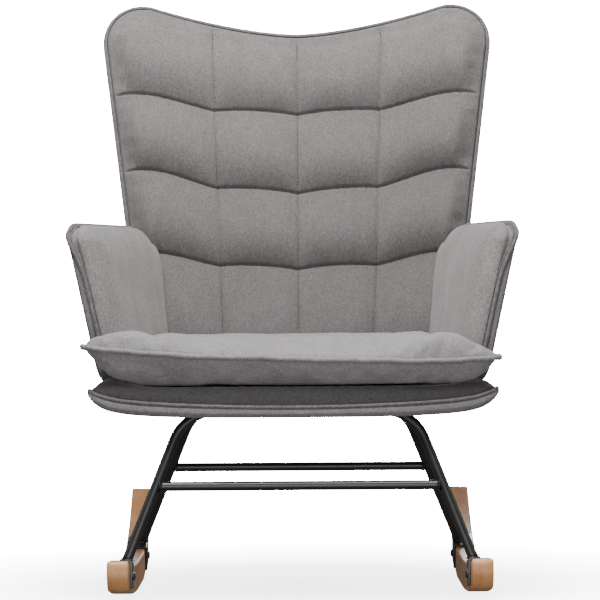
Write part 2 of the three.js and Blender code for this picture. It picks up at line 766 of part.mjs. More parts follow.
// Share 0..1 from the rear to the front of the arm at a given y.
function armShare(y) {
  return (ARM_REAR_Y - y) / (ARM_REAR_Y - ARM_FRONT_Y);
}

function armMidX(y, z) {
  const share = armShare(y);
  const flare = lerp(ARM_REAR_FLARE, ARM_FRONT_FLARE, share);
  return lerp(ARM_REAR_X, ARM_FRONT_X, share) + flare * (z - ARM_BOTTOM_Z);
}

// Side position on the arm: u runs front to rear, v bottom to top.
function armPlan(u, v, inset) {
  const tall = ARM_TOP_Z - ARM_BOTTOM_Z;
  const long = ARM_REAR_Y - ARM_FRONT_Y;
  const corner = v < 0 ? ARM_FOOT_CORNER : u < 0 ? ARM_FRONT_CORNER : ARM_REAR_CORNER;
  const radius = Math.max(corner - inset, ARM_LEAST_CORNER);
  const [a, b] = roundCorner(crowd(u), crowd(v), (2 * radius) / long, (2 * radius) / tall);
  const z = lerp(ARM_BOTTOM_Z + inset, ARM_TOP_Z - inset, (b + 1) / 2);
  const y = lerp(ARM_FRONT_Y + inset, armRearY(z) - inset, (a + 1) / 2);
  return { a, b, y, z };
}

// A layer of the arm between two depths from its inner face.
function armLayer(side, inset, from, to, segments, soft = 0) {
  return shapedBox(segments, (u, v, w) => {
    const { a, b, y, z } = armPlan(u, v, inset);
    const round = soft * Math.max(a ** ARM_ROUND_POWER, b ** ARM_ROUND_POWER);
    const depth = w < 0 ? from + (from === 0 ? round : 0) : to - (from > 0 ? round : 0);
    return { x: side * (armMidX(y, z) - ARM_THICKNESS / 2 + depth), y, z };
  });
}

function addArmBolts(tag, side) {
  for (const [end, way] of [['front', -1], ['rear', 1]]) {
    const y = ARM_MID_Y + way * ARM_BOLT_SPAN;
    const boardMid = ARM_BOARD_DEPTH + ARM_BOARD_PLATE / 2 - ARM_THICKNESS / 2;
    const flare = lerp(ARM_REAR_FLARE, ARM_FRONT_FLARE, armShare(y));
    const z = BOARD_Z - TOUCH;
    const x = armMidX(y, z) + boardMid;
    addBolt(`arm_bolt_${end}_${tag}`, ARM_BOLT_LENGTH, new THREE.Vector3(side * x, y, z),
      new THREE.Vector3(side * flare, 0, 1));
  }
}

function addArm(tag, side) {
  const holes = clearancesOf('arm_bolt');
  const boardTo = ARM_BOARD_DEPTH + ARM_BOARD_PLATE;
  const board = armLayer(side, ARM_BOARD_INSET, ARM_BOARD_DEPTH, boardTo, ARM_BOARD_GRID);
  addPiece(`arm_board_${tag}`, cut(board, ...holes), timber(PLYWOOD));
  const space = armLayer(side, ARM_BOARD_INSET - TOUCH, ARM_BOARD_DEPTH - TOUCH, ARM_THICKNESS,
    ARM_BOARD_GRID);
  const padInset = 2 * WELT_RADIUS + SOFT_GAP + LAYER_GAP;
  const pad = armLayer(side, padInset, 0, ARM_PAD_SHARE, ARM_GRID, ARM_PAD_ROUND);
  addPiece(`arm_pad_${tag}`, cut(pad, space, ...holes), cloth(FABRIC));
  const shellFrom = ARM_PAD_SHARE + TOUCH;
  const shell = armLayer(side, COVER_INSET, shellFrom, ARM_THICKNESS, ARM_GRID, ARM_SHELL_ROUND);
  addPiece(`arm_shell_${tag}`, shell, cloth(FABRIC));
  const welt = weltGeometry((share) => {
    const [u, v] = squareEdge(lerp(ARM_WELT_FROM, ARM_WELT_TO, share));
    const { y, z } = armPlan(u, v, WELT_RADIUS - TOUCH);
    const x = armMidX(y, z) - ARM_THICKNESS / 2 + ARM_PAD_SHARE - WELT_RADIUS - TOUCH;
    return new THREE.Vector3(side * x, y, z);
  }, ARM_WELT_STEPS, true);
  addPiece(`arm_welt_${tag}`, welt, cloth(FABRIC));
}

// ---------- back ----------

const BACK_SEGMENTS = [10, 10, 1];

function backHalf(z) {
  const share = (z - ARM_TOP_Z) / (BACK_WIDE_Z - ARM_TOP_Z);
  return lerp(BACK_HALF_ARM, BACK_HALF_TOP, Math.min(share, 1));
}

// A point of the back: u across, v up, `behind` its front seam line.
function backPoint(u, v, behind, inset) {
  const tall = BACK_DIP_Z + BACK_WING_RISE - BACK_BOTTOM_Z;
  const corner = Math.max((v > 0 ? BACK_CORNER : BACK_FOOT_CORNER) - inset, BACK_LEAST_CORNER);
  const [a, b] = roundCorner(crowd(u), crowd(v), corner / BACK_HALF_TOP, (2 * corner) / tall);
  const up = (b + 1) / 2;
  const wing = Math.min(Math.abs(a) / BACK_WING_PEAK, 1) ** BACK_WING_POWER;
  const rise = BACK_WING_RISE * wing * Math.sqrt(up);
  const z = lerp(BACK_BOTTOM_Z + inset, BACK_DIP_Z - inset, up) + rise;
  const x = a * (backHalf(z) - inset);
  const forward = BACK_WING_FORWARD * (x / BACK_HALF_TOP) ** 2;
  const front = BACK_FOOT_Y + (z - BACK_BOTTOM_Z) * Math.tan(BACK_RECLINE);
  return {
    x,
    y: front - forward * up + behind * Math.cos(BACK_RECLINE),
    z: z - behind * Math.sin(BACK_RECLINE),
  };
}

function backLayer(inset, from, to, bulge = 0) {
  return shapedBox(BACK_SEGMENTS, (u, v, w) => {
    const swell = bulge * (1 - crowd(u) ** BACK_BULGE_POWER[0]) * (1 - crowd(v) ** BACK_BULGE_POWER[1]);
    return backPoint(u, v, w < 0 ? from - swell : to, inset);
  });
}

const BACK_PARTING = BACK_PAD_EDGE + LAYER_GAP;

// y of the back's front seam plane at a height, plus a depth behind it
function backPlaneY(z, behind) {
  return BACK_FOOT_Y + (z - BACK_BOTTOM_Z) * Math.tan(BACK_RECLINE) + behind / Math.cos(BACK_RECLINE);
}

// Steel angle: a foot on the seat board and an upright in front of the back board.
function angleGeometry(side, grow) {
  const lowZ = BOARD_Z + BOARD_PLATE + TOUCH - grow;
  const highZ = BACK_BOTTOM_Z + ANGLE_HEIGHT + grow;
  const plate = ANGLE_PLATE + 2 * grow;
  const rear = BACK_PARTING - ANGLE_STANDOFF + grow;
  const toeY = SEAT_REAR_Y - ANGLE_FOOT - grow;
  const fold = new THREE.Shape();
  fold.moveTo(toeY, lowZ);
  fold.lineTo(backPlaneY(lowZ, rear), lowZ);
  fold.lineTo(backPlaneY(highZ, rear), highZ);
  fold.lineTo(backPlaneY(highZ, rear - plate), highZ);
  fold.lineTo(backPlaneY(lowZ + plate, rear - plate), lowZ + plate);
  fold.lineTo(toeY, lowZ + plate);
  fold.closePath();
  const width = ANGLE_WIDTH + 2 * grow;
  const geometry = new THREE.ExtrudeGeometry(fold, { depth: width, bevelEnabled: false });
  geometry.applyMatrix4(outlineToSide());
  geometry.translate(side * ANGLE_X - width / 2, 0, 0);
  return geometry;
}

function angleSpaces() {
  return [-1, 1].map((side) => angleGeometry(side, TOUCH));
}

function addBackBolts(tag, side) {
  const upperZ = BACK_BOTTOM_Z + ANGLE_HEIGHT * ANGLE_BOLT_UP;
  const upperY = backPlaneY(upperZ, BACK_PARTING - ANGLE_STANDOFF - ANGLE_PLATE - TOUCH);
  addBolt(`back_bolt_upper_${tag}`, BACK_BOLT_LENGTH, new THREE.Vector3(side * ANGLE_X, upperY, upperZ),
    new THREE.Vector3(0, Math.cos(BACK_RECLINE), -Math.sin(BACK_RECLINE)));
  const lowerZ = BOARD_Z + BOARD_PLATE + ANGLE_PLATE + 2 * TOUCH;
  const lowerY = SEAT_REAR_Y - ANGLE_FOOT * ANGLE_BOLT_ALONG;
  addBolt(`back_bolt_lower_${tag}`, BACK_BOLT_LENGTH, new THREE.Vector3(side * ANGLE_X, lowerY, lowerZ),
    new THREE.Vector3(0, 0, -1));
}

function addBack() {
  const holes = clearancesOf('back_bolt');
  const boardTo = BACK_PARTING + BACK_BOARD_PLATE;
  const board = backLayer(BACK_BOARD_INSET, BACK_PARTING, boardTo);
  addPiece('back_board', cut(board, ...holes), timber(PLYWOOD));
  const pad = backLayer(2 * WELT_RADIUS + SOFT_GAP + LAYER_GAP, 0, BACK_PAD_EDGE, BACK_PAD_BULGE);
  addPiece('back_pad', cut(pad, ...angleSpaces(), ...holes), cloth(FABRIC));
  const cover = backLayer(COVER_INSET, BACK_PARTING, BACK_THICKNESS);
  const space = backLayer(BACK_BOARD_INSET - LAYER_GAP, 0, boardTo + LAYER_GAP);
  addPiece('back_cover', cut(cover, space), cloth(FABRIC));
  const welt = weltGeometry((share) => {
    const [u, v] = squareEdge(lerp(BACK_WELT_FROM, BACK_WELT_TO, share));
    const spot = backPoint(u, v, BACK_PAD_EDGE - WELT_RADIUS, WELT_RADIUS - TOUCH);
    return new THREE.Vector3(spot.x, spot.y, spot.z);
  }, BACK_WELT_STEPS, true);
  addPiece('back_welt', welt, cloth(FABRIC));
}

// ---------- assembly ----------

for (const [tag, side] of [['left', -1], ['right', 1]]) {
  addBracket(`front_${tag}`, side, FRONT_FOOT_Y);
  addBracket(`rear_${tag}`, side, REAR_FOOT_Y);
  for (const [end, y] of [
    ['front', FRONT_TOP_Y + SEAT_BOLT_INSET],
    ['rear', REAR_TOP_Y - SEAT_BOLT_INSET],
  ]) {
    const from = new THREE.Vector3(side * RAIL_X, y, RAIL_TOP_Z - RAIL_PLATE - TOUCH);
    addBolt(`seat_bolt_${end}_${tag}`, SEAT_BOLT_LENGTH, from, new THREE.Vector3(0, 0, 1));
  }
  addArmBolts(tag, side);
  addBackBolts(tag, side);
}

for (const [tag, side] of [['left', -1], ['right', 1]]) {
  const rocker = cut(rockerGeometry(side), ...clearancesOf('rocker_bolt'));
  addPiece(`rocker_${tag}`, rocker, timber(BEECH));
  addRail(`seat_rail_${tag}`, side * RAIL_X);
  addPiece(`back_bracket_${tag}`, cut(angleGeometry(side, 0), ...clearancesOf('back_bolt')), zinc());
  addArm(tag, side);
}
for (const mesh of chair.children.filter((child) => child.name.startsWith('rocker_bracket'))) {
  mesh.updateMatrix();
  const back = mesh.matrix.clone().invert();
  const holes = clearancesOf('rocker_bolt').map((hole) => hole.clone().applyMatrix4(back));
  mesh.geometry = cut(mesh.geometry, ...holes);
}
addHoop('front_hoop', FRONT_FOOT_Y, FRONT_TOP_Y);
addHoop('rear_hoop', REAR_FOOT_Y, REAR_TOP_Y);
addCrossbar('front_crossbar', FRONT_FOOT_Y, FRONT_TOP_Y, FRONT_BAR_Z);
addCrossbar('rear_crossbar', REAR_FOOT_Y, REAR_TOP_Y, REAR_BAR_Z);
addSeatBase();
addCushion();
addBack();

// the part's origin is the middle of its box, on the floor
const box = new THREE.Box3().setFromObject(chair, true);
const middle = box.getCenter(new THREE.Vector3());
chair.position.set(-middle.x, -middle.y, -box.min.z);

export default group;
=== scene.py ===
import json
from math import atan2, copysign, cos, hypot, pi, radians, sin, sqrt, tan

import bmesh
import bpy
import numpy as np
from mathutils import Matrix, Vector


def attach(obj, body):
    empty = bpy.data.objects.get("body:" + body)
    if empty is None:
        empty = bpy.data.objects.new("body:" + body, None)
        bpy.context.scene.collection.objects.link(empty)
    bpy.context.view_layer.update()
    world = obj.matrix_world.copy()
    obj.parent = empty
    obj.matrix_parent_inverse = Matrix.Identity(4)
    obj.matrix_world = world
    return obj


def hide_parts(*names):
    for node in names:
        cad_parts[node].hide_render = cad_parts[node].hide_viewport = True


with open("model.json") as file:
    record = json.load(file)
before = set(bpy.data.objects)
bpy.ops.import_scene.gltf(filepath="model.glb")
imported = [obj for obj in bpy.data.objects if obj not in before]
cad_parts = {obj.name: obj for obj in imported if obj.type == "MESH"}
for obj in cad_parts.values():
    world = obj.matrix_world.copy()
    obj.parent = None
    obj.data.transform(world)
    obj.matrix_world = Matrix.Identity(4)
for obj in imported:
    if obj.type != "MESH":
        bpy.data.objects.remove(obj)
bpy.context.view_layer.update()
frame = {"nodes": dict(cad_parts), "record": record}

# All lengths below are millimetres with y counted from the rockers' front ends;
# place() turns them into the frame's metres.
Y_SHIFT = 357.5
RECLINE = radians(15)


def place(points):
    points = np.asarray(points, float)
    return (points - np.array([0, Y_SHIFT, 0])) / 1000


SWAYED = ("seat_", "arm_", "cushion_")


def sway(points):
    """The photo's chair is not quite even: its seat and arms reach further to the left in front."""
    points = np.array(points, float)
    share = 1 - smooth(points[:, 1], 170, 450)
    points[:, 0] += share * (-9 + 7.5 * points[:, 0] / 320)
    return points


# --- small maths ---

def xyz(*axes):
    """Points from two or three coordinates, each an array or one number for all."""
    return np.stack(np.broadcast_arrays(*axes), -1)


def lerp(a, b, t):
    return a + (b - a) * t


def smooth(x, low, high):
    t = np.clip((x - low) / (high - low), 0, 1)
    return t * t * (3 - 2 * t)


def ridge(x, width):
    return np.exp(-(x / width) ** 2)


def dense_ends(n, share):
    """-1..1 in n steps, closer together toward the ends."""
    t = np.linspace(-1, 1, n + 1)
    return t * (1 - share) + share * np.sin(t * pi / 2)


def round_corner(u, v, ru, rv):
    a = (np.abs(u) - 1 + ru) / ru
    b = (np.abs(v) - 1 + rv) / rv
    inside = (a <= 0) | (b <= 0)
    scale = np.maximum(a, b) / np.maximum(np.hypot(a, b), 1e-9)
    x = np.where(inside, u, np.sign(u) * (1 - ru + ru * a * scale))
    y = np.where(inside, v, np.sign(v) * (1 - rv + rv * b * scale))
    return x, y


def quarter(d, radius):
    """0 at the rim, 1 from `radius` inward, like a quarter circle."""
    t = np.clip(1 - d / radius, 0, 1)
    return np.sqrt(1 - t * t)


def rise_in(d, reach):
    """0 at the rim, 1 from `reach` inward, along a quarter of a sine."""
    return np.sin(np.clip(d / reach, 0, 1) * pi / 2)


def wobble(seed, x, y, length):
    """Smooth noise, about -1..1, from a few crossing waves."""
    rng = np.random.default_rng(seed)
    total = np.zeros(np.broadcast(x, y).shape)
    for _ in range(7):
        angle = rng.uniform(0, pi)
        wave = length * rng.uniform(0.6, 1.7)
        phase = rng.uniform(0, 2 * pi)
        total = total + np.sin((x * cos(angle) + y * sin(angle)) * 2 * pi / wave + phase)
    return total / 3.2


# --- meshes ---

def linked(name, data):
    obj = bpy.data.objects.new(name, data)
    bpy.context.scene.collection.objects.link(obj)
    return obj


def shade_smooth(data):
    data.polygons.foreach_set("use_smooth", [True] * len(data.polygons))


def mesh_object(name, points, faces):
    data = bpy.data.meshes.new(name)
    if name.startswith(SWAYED):
        points = sway(points)
    data.from_pydata(place(points).tolist(), [], [[int(i) for i in face] for face in faces])
    data.validate()
    work = bmesh.new()
    work.from_mesh(data)
    bmesh.ops.remove_doubles(work, verts=work.verts, dist=1e-6)
    bmesh.ops.recalc_face_normals(work, faces=work.faces)
    if work.calc_volume(signed=True) < 0:
        bmesh.ops.reverse_faces(work, faces=work.faces)
    work.to_mesh(data)
    work.free()
    shade_smooth(data)
    return linked(name, data)


def grid_faces(rows, columns, start=0):
    i, j = np.meshgrid(np.arange(rows - 1), np.arange(columns - 1), indexing="ij")
    a = start + i * columns + j
    return np.stack([a, a + 1, a + columns + 1, a + columns], -1).reshape(-1, 4)


def ring_faces(rings, sides, closed=False):
    """Faces between rings of `sides` points; closed joins the last ring to the first."""
    here = np.arange(rings * sides).reshape(rings, sides)
    if closed:
        here = np.vstack([here, here[:1]])
    after = np.roll(here, -1, 1)
    return np.stack([here[:-1], after[:-1], after[1:], here[1:]], -1).reshape(-1, 4).tolist()


def caps(rings, sides):
    return [list(range(sides))[::-1], list(range((rings - 1) * sides, rings * sides))]


def perimeter(rows, columns):
    """Indices round the edge of a grid, in order."""
    index = np.arange(rows * columns).reshape(rows, columns)
    return np.concatenate([index[0, :-1], index[:-1, -1], index[-1, :0:-1], index[:0:-1, 0]])


def flat(depth, inset):
    """A panel side at one depth and one inset."""
    return lambda u, v: (depth, inset)


def slab(name, shape, steps, rim_steps, front, back, rim, dense=(0.6, 0.6)):
    """A closed panel. shape(u, v, depth, inset) gives points; front and back are depths;
    rim(t, u, v) gives (depth, inset) on the way from the front's edge to the back's."""
    us, vs = dense_ends(steps[0], dense[0]), dense_ends(steps[1], dense[1])
    v, u = np.meshgrid(vs, us, indexing="ij")
    rows, columns = v.shape
    f = shape(u, v, *front(u, v)).reshape(-1, 3)
    b = shape(u, v, *back(u, v)).reshape(-1, 3)
    edge = perimeter(rows, columns)
    eu, ev = u.reshape(-1)[edge], v.reshape(-1)[edge]
    points, faces = [f], [grid_faces(rows, columns)]
    before, count = edge, rows * columns
    for k in range(1, rim_steps):
        points.append(shape(eu, ev, *rim(k / rim_steps, eu, ev)).reshape(-1, 3))
        now = count + np.arange(len(edge))
        faces.append(np.stack([before, np.roll(before, -1), np.roll(now, -1), now], -1))
        before, count = now, count + len(edge)
    points.append(b)
    now = count + edge
    faces.append(np.stack([before, np.roll(before, -1), np.roll(now, -1), now], -1))
    faces.append(grid_faces(rows, columns, count)[:, ::-1])
    return mesh_object(name, np.concatenate(points), np.concatenate(faces))


def sweep(name, path, radius, sides=16, closed=False, up=(0, 0, 1)):
    """A round cord along the points of path; radius is one number or one per point."""
    path = np.asarray(path, float)
    count = len(path)
    radii = np.broadcast_to(np.asarray(radius, float), (count,))
    if closed:
        tangent = np.roll(path, -1, 0) - np.roll(path, 1, 0)
    else:
        tangent = np.gradient(path, axis=0)
    tangent /= np.linalg.norm(tangent, axis=1)[:, None]
    side = np.cross(tangent, np.asarray(up, float))
    side /= np.maximum(np.linalg.norm(side, axis=1), 1e-9)[:, None]
    top = np.cross(side, tangent)
    angle = np.arange(sides)[:, None] * 2 * pi / sides
    around = side[:, None] * np.cos(angle) + top[:, None] * np.sin(angle)
    rings = path[:, None] + radii[:, None, None] * around
    faces = ring_faces(count, sides, closed) + ([] if closed else caps(count, sides))
    return mesh_object(name, rings.reshape(-1, 3), faces)


def join_into(name, objects):
    work = bmesh.new()
    for obj in objects:
        work.from_mesh(obj.data)
    data = bpy.data.meshes.new(name)
    work.to_mesh(data)
    work.free()
    for obj in objects:
        old = obj.data
        bpy.data.objects.remove(obj)
        bpy.data.meshes.remove(old)
    shade_smooth(data)
    return linked(name, data)


def finish_edges(obj, width, angle=35):
    """Rounds the hard edges of obj and shades it smooth."""
    modifier = obj.modifiers.new("edge", "BEVEL")
    modifier.width, modifier.segments = width / 1000, 3
    modifier.limit_method, modifier.angle_limit = "ANGLE", radians(angle)
    modifier.use_clamp_overlap = True
    bake(obj)
    shade_smooth(obj.data)
    obj.data.set_sharp_from_angle(angle=radians(angle))


def bake(obj):
    graph = bpy.context.evaluated_depsgraph_get()
    data = bpy.data.meshes.new_from_object(obj.evaluated_get(graph))
    obj.modifiers.clear()
    obj.data = data


def cad_copy(node, name):
    obj = frame["nodes"][node].copy()
    obj.data = obj.data.copy()
    obj.name = name
    obj.parent = None
    for key in list(obj.keys()):
        if key.startswith("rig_"):
            del obj[key]
    bpy.context.scene.collection.objects.link(obj)
    work = bmesh.new()
    work.from_mesh(obj.data)
    bmesh.ops.remove_doubles(work, verts=work.verts, dist=1e-5)
    bmesh.ops.dissolve_limit(work, angle_limit=0.02, verts=work.verts, edges=work.edges)
    work.to_mesh(obj.data)
    work.free()
    return obj


# --- materials ---

def nodes_of(name):
    material = bpy.data.materials.new(name)
    material.use_nodes = True
    tree = material.node_tree
    shader = tree.nodes["Principled BSDF"]
    return material, tree, shader


def add(tree, kind, **values):
    node = tree.nodes.new(kind)
    for key, value in values.items():
        if key in node.inputs:
            node.inputs[key].default_value = value
        else:
            setattr(node, key, value)
    return node


def coordinates(tree, scale=(1, 1, 1)):
    source = tree.nodes.new("ShaderNodeTexCoord")
    mapping = tree.nodes.new("ShaderNodeMapping")
    mapping.inputs["Scale"].default_value = scale
    tree.links.new(source.outputs["Object"], mapping.inputs["Vector"])
    return mapping.outputs["Vector"]


def noise(tree, scale, stretch=(1, 1, 1), detail=3.0, rough=0.55):
    node = add(tree, "ShaderNodeTexNoise", Scale=scale, Detail=detail, Roughness=rough)
    tree.links.new(coordinates(tree, stretch), node.inputs["Vector"])
    return node.outputs["Fac"]


def ramp(tree, value, stops):
    """stops are (position, colour); a colour may be one number, for a grey."""
    stops = [(at, (c, c, c, 1) if isinstance(c, (int, float)) else (*c, 1)) for at, c in stops]
    node = tree.nodes.new("ShaderNodeValToRGB")
    elements = node.color_ramp.elements
    elements[0].position, elements[0].color = stops[0]
    elements[1].position, elements[1].color = stops[-1]
    for position, colour in stops[1:-1]:
        elements.new(position).color = colour
    tree.links.new(value, node.inputs["Fac"])
    return node.outputs["Color"]


def multiply(tree, base, value, stops):
    """The base colour times a ramp over value."""
    colour = ramp(tree, value, stops)
    node = tree.nodes.new("ShaderNodeMix")
    node.data_type, node.blend_type = "RGBA", "MULTIPLY"
    node.inputs["Factor"].default_value = 1
    tree.links.new(base, node.inputs[6])
    tree.links.new(colour, node.inputs[7])
    return node.outputs[2]


def drive(shader, socket, value, stops):
    tree = shader.id_data
    tree.links.new(ramp(tree, value, stops), shader.inputs[socket])


def put(node, **values):
    """Sets the node's sockets; an underscore stands for a space."""
    for name, value in values.items():
        node.inputs[name.replace("_", " ")].default_value = value


def maths(tree, kind, a, b):
    node = tree.nodes.new("ShaderNodeMath")
    node.operation = kind
    for socket, value in zip(node.inputs, (a, b)):
        if isinstance(value, (int, float)):
            socket.default_value = value
        else:
            tree.links.new(value, socket)
    return node.outputs[0]


def bump(tree, shader, height, strength, distance, before=None):
    node = add(tree, "ShaderNodeBump", Strength=strength, Distance=distance)
    tree.links.new(height, node.inputs["Height"])
    if before is not None:
        tree.links.new(before, node.inputs["Normal"])
    tree.links.new(node.outputs["Normal"], shader.inputs["Normal"])
    return node.outputs["Normal"]


def warm_grey(value, warm):
    return (value * (1 + warm), value, value * (1 - warm * 0.05))


def velvet(name, value, warm=0.03, streak=(1, 1, 1), contrast=0.12, sheen=0.35, fine=1.0, painted_shade=None):
    """Short-pile velvet: fine speckle, brushed patches, nap streaks and a soft sheen.
    The optional height stops, (height in metres, share of the colour), are painted shade: the colour darker
    lower down, where less light falls."""
    material, tree, shader = nodes_of(name)
    patches = noise(tree, 9, stretch=(1, 1, 0.6))
    nap = noise(tree, 55, stretch=streak, detail=4, rough=0.6)
    flock = noise(tree, 300 * fine, stretch=(1, 1, 0.75), detail=3, rough=0.75)
    speck = noise(tree, 640 * fine, stretch=(1, 1, 0.8), detail=2, rough=0.7)
    thread = noise(tree, 1500 * fine, detail=1, rough=0.5)
    low, high = 1 - contrast, 1 + contrast
    base = ramp(tree, patches, [(0.3, warm_grey(value * (1 - contrast * 0.45), warm)),
                                (0.7, warm_grey(value * (1 + contrast * 0.45), warm * 0.8))])
    base = multiply(tree, base, nap, [(0.32, lerp(1, low, 0.7)), (0.68, lerp(1, high, 0.7))])
    base = multiply(tree, base, flock, [(0.38, low * 0.95), (0.62, high * 1.04)])
    base = multiply(tree, base, speck, [(0.37, low * 0.92), (0.63, high * 1.05)])
    # painted shade: the colour is darkened by height, lower down
    if painted_shade:
        split = tree.nodes.new("ShaderNodeSeparateXYZ")
        tree.links.new(coordinates(tree), split.inputs["Vector"])
        base = multiply(tree, base, split.outputs["Z"], painted_shade)
    tree.links.new(base, shader.inputs["Base Color"])
    drive(shader, "Roughness", nap, [(0.3, 0.78), (0.7, 0.96)])
    put(shader, Sheen_Weight=sheen, Sheen_Roughness=0.45, Sheen_Tint=(0.93, 0.9, 0.9, 1),
        Specular_IOR_Level=0.18)
    first = bump(tree, shader, thread, 0.35, 0.0006)
    second = bump(tree, shader, speck, 0.45, 0.0011, first)
    bump(tree, shader, nap, 0.2, 0.002, second)
    return material


def coated_steel(name, value, roughness=0.34):
    material, tree, shader = nodes_of(name)
    grain = noise(tree, 900, detail=2)
    cloud = noise(tree, 22, detail=3)
    drive(shader, "Base Color", cloud, [(0.3, value * 0.8), (0.7, value * 1.3)])
    drive(shader, "Roughness", cloud, [(0.25, roughness * 0.85), (0.75, roughness * 1.25)])
    put(shader, Specular_IOR_Level=0.6, Coat_Weight=0.25, Coat_Roughness=0.22)
    bump(tree, shader, grain, 0.12, 0.0004)
    return material


def steel(name, value, roughness):
    material, tree, shader = nodes_of(name)
    lines = noise(tree, 240, stretch=(1, 0.06, 1), detail=3)
    drive(shader, "Base Color", lines, [(0.3, value * 0.85), (0.7, value * 1.1)])
    drive(shader, "Roughness", lines, [(0.3, roughness), (0.7, roughness * 1.4)])
    put(shader, Metallic=1)
    bump(tree, shader, lines, 0.1, 0.0004)
    return material


def wood(name, dark, mid, light, along="y", shine=0.42):
    """Straight-grained timber with pores, growth bands and worn, lighter patches."""
    material, tree, shader = nodes_of(name)

    def grain(scale, share, detail, rough=0.55):
        return noise(tree, scale, (1, share, 1) if along == "y" else (share, 1, 1), detail, rough)

    bands = grain(42, 0.045, 5, 0.6)
    pores = grain(420, 0.02, 3, 0.7)
    flecks = grain(170, 0.22, 1)
    patch = noise(tree, 5, detail=2)
    base = ramp(tree, bands, [(0.25, dark), (0.5, mid), (0.75, light)])
    base = multiply(tree, base, pores, [(0.34, (0.8, 0.76, 0.72)), (0.52, 1)])
    base = multiply(tree, base, flecks, [(0.3, (0.9, 0.87, 0.84)), (0.42, 1)])
    base = multiply(tree, base, patch, [(0.3, (0.92, 0.9, 0.88)), (0.7, (1.05, 1.05, 1.06))])
    tree.links.new(base, shader.inputs["Base Color"])
    drive(shader, "Roughness", pores, [(0.3, shine * 1.3), (0.6, shine)])
    put(shader, Coat_Weight=0.12, Coat_Roughness=0.3)
    bump(tree, shader, pores, 0.15, 0.0006)
    return material


def weave(name, value):
    material, tree, shader = nodes_of(name)
    across, along = (add(tree, "ShaderNodeTexWave", Scale=420, Distortion=0.6, bands_direction=way)
                     for way in "XY")
    for node in (across, along):
        tree.links.new(coordinates(tree), node.inputs["Vector"])
    threads = maths(tree, "MAXIMUM", across.outputs["Fac"], along.outputs["Fac"])
    drive(shader, "Base Color", threads, [(0.2, value * 0.5), (0.9, value * 1.4)])
    put(shader, Roughness=0.92)
    bump(tree, shader, threads, 0.5, 0.0008)
    return material


# the back's velvet carries painted shade, darker toward its foot
M_BACK = velvet("velvet_back", 0.165, 0.1, streak=(1, 1, 0.4), contrast=0.1,
                painted_shade=[(0.4, 0.74), (0.62, 0.76), (0.8, 0.82), (0.9, 0.93), (1.0, 0.96)])
M_ARM = velvet("velvet_arm", 0.215, 0.08, streak=(0.7, 0.7, 0.2), contrast=0.14, sheen=0.22)
M_SHELL = velvet("velvet_outer", 0.17, 0.04, streak=(1, 1, 0.35), contrast=0.1)
M_SEAT = velvet("velvet_seat", 0.265, 0.05, streak=(0.5, 0.9, 1), contrast=0.09)
# a darker copy of the base velvet: painted shade for the deck, which lies in the cushion's shadow
M_DECK_PAINTED_SHADE = velvet("velvet_deck_painted_shade", 0.06, 0.07, streak=(0.5, 1, 1), contrast=0.1)
M_BASE = velvet("velvet_base", 0.2, 0.06, streak=(0.5, 1, 1), contrast=0.1)
M_PIPING = velvet("velvet_piping", 0.14, 0.08, contrast=0.14, fine=0.8)
# painted light: a lighter copy of the piping velvet, for the cushion's welt
M_CORD_PAINTED_LIGHT = velvet("velvet_cushion_piping_painted_light", 0.25, 0.06, fine=0.8)
M_THREAD = weave("stitch_thread", 0.06)
M_STEEL = coated_steel("black_coating", 0.014)
M_BOLT = coated_steel("black_bolt_finish", 0.008, 0.26)
M_ZINC = steel("zinc_plate", 0.55, 0.35)
M_DUST = weave("dust_cloth_weave", 0.03)
M_BEECH = wood("beech_rocker", (0.6, 0.27, 0.1), (0.74, 0.37, 0.15), (0.83, 0.46, 0.21))
M_PLY = wood("plywood_face", (0.5, 0.34, 0.18), (0.6, 0.43, 0.25), (0.68, 0.5, 0.3), along="x", shine=0.6)

SLOT_OF = {
    "velvet": M_BACK, "piping": M_PIPING, "dust_cloth": M_DUST, "beech": M_BEECH,
    "plywood": M_PLY, "black_steel": M_STEEL, "black_bolt": M_BOLT, "zinc_steel": M_ZINC,
}


def dress(obj, slot, *replaced, body="frame", finish=None):
    obj.data.materials.clear()
    obj.data.materials.append(finish or SLOT_OF[slot])
    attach(obj, body)
    if replaced:
        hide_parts(*replaced)
    return obj


# the carried-over CAD nodes take their slot's finish
for part in frame["record"]["subparts"]:
    node = frame["nodes"][part["node"]]
    node.data.materials.clear()
    node.data.materials.append(SLOT_OF[part["material_slot"]])


# --- rockers ---

ROCKER_LENGTH, ROCKER_WIDTH, ROCKER_THICKNESS, ROCKER_X = 715, 33, 46, 278.5
FLAT_FROM, FLAT_TO, FRONT_RISE, REAR_RISE = 320, 460, 27, 98
REAR_POWER = 1.6
FRONT_LOW, FRONT_HIGH, REAR_LOW, REAR_HIGH = 27, 10, 25, 12  # radii of the end corners
ROCKER_EDGE = 3.6
END_STEPS, SIDE_STEPS, EDGE_STEPS = 10, 90, 6


def sole(y):
    y = np.asarray(y, float)
    front = FRONT_RISE * (np.clip(FLAT_FROM - y, 0, None) / FLAT_FROM) ** 2
    rear = REAR_RISE * (np.clip(y - FLAT_TO, 0, None) / (ROCKER_LENGTH - FLAT_TO)) ** REAR_POWER
    return front + rear


def sole_slope(y):
    return atan2(float(sole(y + 1) - sole(y - 1)), 2)


